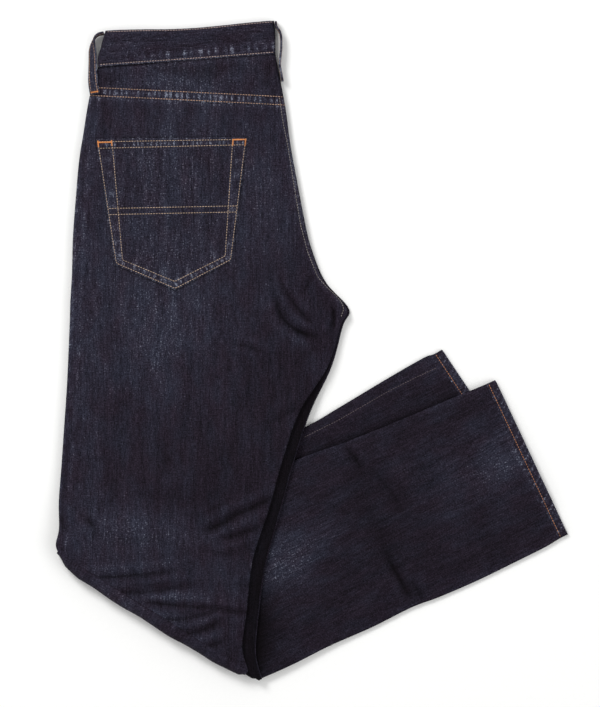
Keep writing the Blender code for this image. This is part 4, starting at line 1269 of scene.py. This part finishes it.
def ring_grid(sections, bases, dips):
    """Sets each section line between its two plan points, over its base height."""
    grid = []
    for (points, side, inner), base, dip in zip(sections, bases, dips):
        run = inner - side
        width = np.linalg.norm(run)
        across = run / width
        along = np.array((-across[1], across[0]))
        points = np.array(points)
        sag = dip * np.sin(np.pi * points[:, 0] / width) ** 2
        plan = side + across * points[:, :1] - along * sag[:, None]
        grid.append(np.concatenate([plan, (points[:, 1] + base(plan))[:, None]], axis=1))
    return np.array(grid)


def waistband_stitch(share, count=60, trim=(2.5, 2.0)):
    row = smooth_row(WAISTBAND_ROWS, share * (len(WAISTBAND_ROWS) - 1))
    side, inner = row[0:2], row[2:4]
    run = inner - side
    width = np.linalg.norm(run)
    across = run / width
    along = np.array((-across[1], across[0]))
    reach = np.linspace(trim[0], width - trim[1], count)
    sag = WAISTBAND_DIP * share * np.sin(np.pi * reach / width) ** 2
    return side + across * reach[:, None] - along * sag[:, None]


WAIST_STITCHES = (waistband_stitch(0.065), waistband_stitch(0.945))


def waistband():
    count = 34
    sections, dips = [], []
    for share in np.linspace(0, 1, count):
        row = smooth_row(WAISTBAND_ROWS, share * (len(WAISTBAND_ROWS) - 1))
        width = float(np.linalg.norm(row[2:4] - row[0:2]))
        sections.append((folded_ring(width), row[0:2], row[2:4]))
        dips.append(WAISTBAND_DIP * share)
    grid = ring_grid(sections, [right_side_base] * count, dips)
    flat = grid.reshape(-1, 3)
    plan = flat[:, :2]
    on_top = (flat[:, 2] > WAISTBAND_TOP_LAYER) * 1.0
    relief = np.zeros(len(flat))
    edge_share = np.repeat(np.linspace(0, 1, count), grid.shape[1])
    for k, line in enumerate(WAIST_STITCHES):
        relief += seam_relief(plan, line, 0.40, 0.32, 9.0, 6.0, 2.0 + 3 * k)
    relief += 0.30 * waver(plan, 20.0, 4.0) + 0.4 * np.exp(-(edge_share * 7.0) ** 2)
    relief -= 0.5 * np.exp(-((1.0 - edge_share) * 12.0) ** 2)
    flat[:, 2] += relief * on_top
    band = ease((plan[:, 0] + 215.0) / 60.0) * 0.7 + 0.3
    wear = 1.0 * band * rope_wear(plan, WAIST_STITCHES[0] + (0.0, 6.5), 5.2, 9.3, 3.0)
    wear += 0.7 * rope_wear(plan, WAIST_STITCHES[0] + (0.0, -1.6), 1.0, 6.0, 7.0)
    wear += 0.6 * np.exp(-((1.0 - edge_share) * 14.0) ** 2) * (0.5 + 0.5 * ripple(plan[:, 0], 8.0, 5.0))
    wear += 0.30 * np.exp(-(edge_share * 16.0) ** 2)
    looks = {"fade": 0.16 + 0.10 * waver(plan, 40.0, 6.0), "wear": wear, "shade": np.zeros(len(flat))}
    grid = flat.reshape(grid.shape)
    columns = grid.shape[1]
    steps = np.linalg.norm(np.diff(grid[count // 2], axis=0), axis=1)
    around = np.concatenate([[0.0], np.cumsum(steps)])
    up = np.linspace(0, WAISTBAND_DEPTH, count)
    places = np.stack([np.tile(up[:, None], (1, columns)), np.tile(around, (count, 1))], axis=2)
    return cloth_piece("jeans_waistband", "waistband", DENIM_SEWN, grid, places,
                       looks_grid(looks, grid.shape[:2]), (count // 2, 60, FACE_UP),
                       WAISTBAND_WALL, closed=True)


def hem_stitch_line(table, trim=(1.5, 1.5)):
    return section_line(table, place_above_hem(table, HEM_DEPTH - HEM_STITCH_INSET), trim=trim)


def leg_hem(name, node, table, base):
    """A hem turned up twice and stitched, roped by the wash into slanting ripples."""
    last = len(table) - 1
    count = 18
    sections = []
    for place in np.linspace(place_above_hem(table, HEM_DEPTH), last, count):
        row = smooth_row(table, place)
        width = float(np.linalg.norm(row[2:4] - row[0:2]))
        sections.append((flat_ring(width, HEM_WALL, HEM_SLIT), row[0:2], row[2:4]))
    grid = ring_grid(sections, [base] * count, [0.0] * count)
    flat = grid.reshape(-1, 3)
    plan = flat[:, :2]
    base_height = base(plan)
    on_top = (flat[:, 2] - base_height > 0.8 * (2 * HEM_WALL + HEM_SLIT)) * 1.0
    edge_share = np.repeat(np.linspace(0, 1, count), grid.shape[1])
    _, place = along_line(plan, section_line(table, last))
    rope = ripple(place + 9.0 * edge_share, 7.0, 3.0)
    end_round = 0.5 * np.exp(-((1.0 - edge_share) * 6.0) ** 2)
    flat[:, 2] += on_top * (0.30 * rope * np.sin(np.pi * edge_share) - end_round)
    flat[:, 2] += on_top * seam_relief(plan, hem_stitch_line(table), 0.35, 0.0)
    wear = 0.55 * np.exp(-((1.0 - edge_share) * 5.0) ** 2) * (0.5 + 0.5 * ripple(place, 7.0, 2.0))
    wear += 0.75 * np.clip(1.3 * rope, 0.0, 1.0)
    looks = {"fade": np.full(len(flat), 0.16), "wear": wear, "shade": np.zeros(len(flat))}
    grid = flat.reshape(grid.shape)
    steps = np.linalg.norm(np.diff(grid[0], axis=0), axis=1)
    around = np.concatenate([[0.0], np.cumsum(steps)])
    down = np.linspace(0, HEM_DEPTH, count)
    places = np.stack([np.tile(around, (count, 1)), np.tile(down[:, None], (1, len(around)))], axis=2)
    return cloth_piece(name, node, DENIM_SEWN, grid, places, looks_grid(looks, grid.shape[:2]),
                       (count // 2, 45, FACE_UP), HEM_WALL, closed=True)


# Belt loops

def strap_section(half_width, half, steps=4):
    """Closed outline of a strap's section, with round edges: (across, out)."""
    outline = []
    for centre, start in ((half_width - half, -90), (-half_width + half, 90)):
        outline += arc((centre, 0.0), half, start, start + 180, 2 * steps)
        sign = -1 if start == -90 else 1
        across = np.linspace(centre, sign * (half_width - half), 10)[1:-1]
        outline += [(x, half if start == -90 else -half) for x in across]
    return outline + outline[:1]


def belt_loop(name, node, route, thickness=LOOP_THICKNESS):
    section = strap_section(LOOP_WIDTH / 2, thickness / 2)
    places = np.linspace(0.0, len(route) - 1, 72)
    rows = np.array([smooth_row(route, place) for place in places])
    middles = rows[:, :3]
    grid, faces = [], []
    length = np.concatenate([[0.0], np.cumsum(np.linalg.norm(np.diff(middles, axis=0), axis=1))])
    for i, row in enumerate(rows):
        ahead = middles[min(i + 1, len(rows) - 1)] - middles[max(i - 1, 0)]
        ahead /= np.linalg.norm(ahead)
        across = row[3:6] - ahead * float(row[3:6] @ ahead)
        across /= np.linalg.norm(across)
        out = np.cross(ahead, across)
        ring = []
        for w, h in section:
            press = 0.30 * math.exp(-((abs(w) - LOOP_STITCH_OUT) / 0.7) ** 2)
            lift = 0.12 * math.sin(length[i] / 1.9 + w)
            ring.append(middles[i] + across * w + out * (h - math.copysign(press - lift, h)))
        grid.append(ring)
        faces.append((across, out))
    grid = np.array(grid)
    around = np.array([w for w, _ in section])
    places = np.stack([np.tile(around, (len(rows), 1)), np.tile(length[:, None], (1, len(section)))],
                      axis=2)
    edge = np.exp(-((np.abs(around) - LOOP_WIDTH / 2) / 0.9) ** 2)
    patches = 0.55 + 0.45 * ripple(length, 7.0, 4.0)
    worn = 0.25 + 0.6 * edge[None, :] * patches[:, None]
    looks = {"fade": np.full(grid.shape[:2], 0.24), "wear": worn,
             "shade": np.zeros(grid.shape[:2])}
    direction = tuple(faces[35][1])
    mesh = cloth_grid(name, grid, places, looks, (35, 12, direction), closed=True)
    cap = bmesh.new()
    cap.from_mesh(mesh)
    bmesh.ops.holes_fill(cap, edges=[e for e in cap.edges if e.is_boundary], sides=0)
    bmesh.ops.recalc_face_normals(cap, faces=cap.faces)
    cap.to_mesh(mesh)
    cap.free()
    tree = surface_tree(mesh)
    piece = new_piece(name, mesh, DENIM_SEWN, "denim", node)
    rows_out = []
    for sign in (-1, 1):
        line = [middle + across * sign * LOOP_STITCH_OUT + out * thickness / 2
                for middle, (across, out) in zip(middles, faces)]
        rows_out.append((np.array(line), np.array([out for _, out in faces])))
    return piece, tree, rows_out


# Thread

TOP, UNDER = -1, 1
OVER_ALL = 60.0
BELOW_ALL = -30.0
STITCH_PITCH = 3.1
STITCH_LENGTH = 2.5
THREAD_WIDTH = 0.88
THREAD_HEIGHT = 0.60


def resample(line, pitch):
    """Middle and direction of each stitch along a line of points."""
    line = np.asarray(line, float)
    steps = np.linalg.norm(np.diff(line, axis=0), axis=1)
    starts = np.concatenate([[0.0], np.cumsum(steps)])
    count = max(1, int(starts[-1] / pitch))
    ends = np.linspace(0, starts[-1], count + 1)
    knots = np.stack([np.interp(ends, starts, line[:, k]) for k in range(line.shape[1])], axis=1)
    return (knots[:-1] + knots[1:]) / 2, np.diff(knots, axis=0)


def lay_on(trees, point, way):
    """Sets a plan point on the outermost face, seen from above (TOP) or below (UNDER)."""
    best = None
    for tree in trees:
        height = OVER_ALL if way == TOP else BELOW_ALL
        start = Vector((point[0] * MM, point[1] * MM, height * MM))
        place, normal, _, _ = tree.ray_cast(start, Vector((0, 0, way)))
        if place is not None and (best is None or (place.z - best[0].z) * -way > 0):
            best = (place, normal if normal.z * -way > 0 else -normal)
    return best


def add_stitch(bed, middle, direction, normal, length, width=THREAD_WIDTH, height=THREAD_HEIGHT):
    """One thread stitch: a slim round-ended grain lying on the cloth."""
    z = normal.normalized()
    x = (direction - z * direction.dot(z)).normalized()
    y = z.cross(x)
    turn = Matrix((x, y, z)).transposed().to_4x4()
    size = Matrix.Diagonal((length * MM / 2, width * MM / 2, height * MM / 2, 1.0))
    shift = Matrix.Translation(middle + z * height * MM * 0.22)
    bmesh.ops.create_uvsphere(bed, u_segments=6, v_segments=5, radius=1.0,
                              matrix=shift @ turn @ size @ Matrix.Rotation(math.pi / 2, 4, "Y"))


def stitched(name, colour, rows, width=THREAD_WIDTH):
    """A piece of stitching: rows of (line, trees, way), each a plan line laid on the cloth."""
    bed = bmesh.new()
    for line, trees, way in rows:
        middles, runs = resample(line, STITCH_PITCH)
        for k, (middle, run) in enumerate(zip(middles, runs)):
            found = lay_on(trees, middle, way)
            if found is None:
                continue
            length = STITCH_LENGTH * (1.0 + 0.08 * math.sin(k * 2.399))
            skew = 0.05 * math.sin(k * 1.7)
            direction = Vector((run[0] - run[1] * skew, run[1] + run[0] * skew, 0.0)).normalized()
            add_stitch(bed, found[0], direction, found[1], length, width)
    return finish_thread(name, colour, bed)


def finish_thread(name, colour, bed):
    mesh = bpy.data.meshes.new(name)
    bed.to_mesh(mesh)
    bed.free()
    mesh.shade_smooth()
    return new_piece(name, mesh, THREADS[colour], "topstitch_thread")


def loop_stitches(name, colour, rows):
    bed = bmesh.new()
    for line, outs in rows:
        middles, runs = resample(line, STITCH_PITCH)
        steps = np.linspace(0, len(outs) - 1, len(middles))
        for k, (middle, run) in enumerate(zip(middles, runs)):
            out = Vector(outs[int(steps[k])])
            for sign in (1, -1):
                place = Vector(middle - np.array(out) * (LOOP_THICKNESS if sign < 0 else 0.0)) * MM
                sunk = place - out * sign * LOOP_STITCH_SINK * MM
                add_stitch(bed, sunk, Vector(run).normalized(), out * sign, STITCH_LENGTH)
    return finish_thread(name, colour, bed)


def bar_tacks(name, rows):
    """Dense bars of thread: each row is a middle point, the bar's way, length, width, trees, way."""
    bed = bmesh.new()
    for middle, turn, length, width, trees, way in rows:
        angle = math.radians(turn)
        along = np.array((math.cos(angle), math.sin(angle)))
        across = np.array((-along[1], along[0]))
        for k, t in enumerate(np.arange(-length / 2, length / 2, 0.5)):
            found = lay_on(trees, np.array(middle) + along * t, way)
            if found is None:
                continue
            slant = across + along * (0.22 if k % 2 else -0.22)
            direction = Vector((slant[0], slant[1], 0.0)).normalized()
            add_stitch(bed, found[0], direction, found[1], width, 0.62, 0.8)
    return finish_thread(name, "tack", bed)


# Putting the garment together

left_back, left_back_tree = left_back_panel()
right_back, _ = right_back_panel()
left_front, left_front_tree = left_front_panel()
fronts = inner_layers()
left_yoke, right_yoke, yoke_tree, under_yoke_tree = yokes()
left_pocket, right_pocket, pocket_tree, under_pocket_tree = back_pockets()
band, band_tree = waistband()
hem_right, hem_right_tree = leg_hem("right_leg_hem", "hem_right_leg", RIGHT_CALF, right_calf_base)
hem_left, hem_left_tree = leg_hem("left_leg_hem", "hem_left_leg", LEFT_CALF, lambda p: np.zeros(len(p)))
loop_side_left, side_tree, side_rows = belt_loop("left_side_belt_loop", "belt_loop_side_left",
                                                 SIDE_LOOP_LEFT)
loop_back, _, back_rows = belt_loop("centre_back_belt_loop", "belt_loop_centre_back",
                                    CENTRE_BACK_LOOP)
FLAT_LOOP = [(SIDE_LOOP_RIGHT_X, y, LOOP_THICKNESS / 2, 1.0, 0.0, 0.0)
             for y in np.linspace(SIDE_LOOP_RIGHT_Y[1], SIDE_LOOP_RIGHT_Y[0], 5)]
loop_side_right, _, flat_rows = belt_loop("right_side_belt_loop", "belt_loop_side_right",
                                          FLAT_LOOP)

for name, tree, way in (("left_pocket_stitching", pocket_tree, TOP),
                        ("right_pocket_stitching", under_pocket_tree, UNDER)):
    stitched(name, "pocket", [(line, [tree], way) for line in (
        POCKET_OUTER_STITCH, POCKET_INNER_STITCH, *POCKET_HEM_STITCH, *POCKET_ROWS)])
for name, tree, way in (("left_yoke_stitching", yoke_tree, TOP),
                        ("right_yoke_stitching", under_yoke_tree, UNDER)):
    stitched(name, "yoke", [(line, [tree], way) for line in YOKE_STITCH])
stitched("waistband_stitching", "waist", [
    (line, [band_tree], way) for line in WAIST_STITCHES for way in (TOP, UNDER)])
stitched("hem_stitching", "hem", [
    (hem_stitch_line(table), [hem_tree], way)
    for table, hem_tree in ((RIGHT_CALF, hem_right_tree), (LEFT_CALF, hem_left_tree))
    for way in (TOP, UNDER)])
stitched("centre_back_stitching", "seam", [
    (CENTRE_BACK_STITCH, [left_back_tree, yoke_tree], TOP)], 0.75)
stitched("outseam_stitching", "side", [(OUTSEAM_LINE, [left_front_tree], TOP)], 0.75)
loop_stitches("belt_loop_stitching", "yoke", side_rows + back_rows + flat_rows)

# Bars of dense thread at the pocket's corners. Columns: middle, turn, length, width
POCKET_TACKS = (
    ((-238.2, 240.2), 1, 16.0, 2.0),
    ((-83.6, 243.2), 1, 15.0, 2.0),
    ((-245.6, 238.6), 97, 7.5, 1.9),
    ((-230.0, 239.4), 95, 6.5, 1.9),
    ((-90.8, 240.4), 87, 7.5, 1.9),
    ((-76.4, 240.4), 83, 8.5, 1.9),
)
bar_tacks("bar_tacks", [
    *((*row, [pocket_tree], TOP) for row in POCKET_TACKS),
    *((*row, [under_pocket_tree], UNDER) for row in POCKET_TACKS),
    ((-249.6, 298.0), 8, 9.0, 2.2, [side_tree], TOP),
])


# Floor, light and camera

PHOTO_WIDTH, PHOTO_HEIGHT = 600, 707
MM_PER_PIXEL = 1.15
ORIGIN_PIXEL = (311.9, 351.3)
CAMERA_HEIGHT = 4.0
SENSOR_HEIGHT = 24.0
FLOOR_REACH = 6.0
FLOOR_DROP = 0.0006


def pale_floor():
    """A matt white paper surface, with a faint tooth."""
    material = bpy.data.materials.new("matt_white_paper")
    material.use_nodes = True
    tree = material.node_tree
    shader = tree.nodes["Principled BSDF"]
    place = add_node(tree, "ShaderNodeTexCoord", output="Object")
    tooth = add_node(tree, NOISE, {"Vector": place, "Scale": 260.0, "Detail": 3.0})
    white = linear(PAPER_WHITE)
    colour = add_node(tree, "ShaderNodeValToRGB", (tooth,))
    for stop, place_on, light in zip(colour.node.color_ramp.elements, (0.2, 0.8), (0.985, 1.0)):
        stop.position = place_on
        stop.color = [value * light for value in white[:3]] + [1.0]
    tree.links.new(colour, shader.inputs["Base Color"])
    shader.inputs["Roughness"].default_value = 0.9
    bed = bmesh.new()
    bmesh.ops.create_grid(bed, x_segments=1, y_segments=1, size=FLOOR_REACH,
                          matrix=Matrix.Translation((0.0, 0.0, -FLOOR_DROP)))
    mesh = bpy.data.meshes.new("floor")
    bed.to_mesh(mesh)
    bed.free()
    mesh.materials.append(material)
    floor = bpy.data.objects.new("floor", mesh)
    bpy.context.scene.collection.objects.link(floor)


def area_light(name, place, size, power):
    lamp = bpy.data.lights.new(name, "AREA")
    lamp.shape = "DISK"
    lamp.size = size
    lamp.energy = power
    light = bpy.data.objects.new(name, lamp)
    light.location = place
    light.rotation_euler = (-Vector(place)).to_track_quat("-Z", "Y").to_euler()
    bpy.context.scene.collection.objects.link(light)


def studio():
    area_light("soft_key", (-1.5, 1.9, 2.2), 1.3, 62.0)
    area_light("soft_fill", (2.2, -0.6, 2.4), 2.2, 22.0)
    world = bpy.data.worlds.new("soft_studio")
    world.use_nodes = True
    world.node_tree.nodes["Background"].inputs["Color"].default_value = (1.0, 1.0, 1.0, 1.0)
    world.node_tree.nodes["Background"].inputs["Strength"].default_value = 0.62
    bpy.context.scene.world = world
    bpy.context.scene.view_settings.view_transform = "Standard"


def overhead_camera():
    """Straight above, framed as the 600 by 707 photo."""
    lens = bpy.data.cameras.new("overhead")
    lens.sensor_fit = "VERTICAL"
    lens.sensor_height = SENSOR_HEIGHT
    lens.lens = SENSOR_HEIGHT * CAMERA_HEIGHT / (PHOTO_HEIGHT * MM_PER_PIXEL * MM)
    lens.clip_end = 30.0
    camera = bpy.data.objects.new("overhead", lens)
    x = (PHOTO_WIDTH / 2 - ORIGIN_PIXEL[0]) * MM_PER_PIXEL * MM
    y = (ORIGIN_PIXEL[1] - PHOTO_HEIGHT / 2) * MM_PER_PIXEL * MM
    camera.location = (x, y, CAMERA_HEIGHT + 0.01)
    bpy.context.scene.collection.objects.link(camera)
    bpy.context.scene.camera = camera


pale_floor()
studio()
overhead_camera()
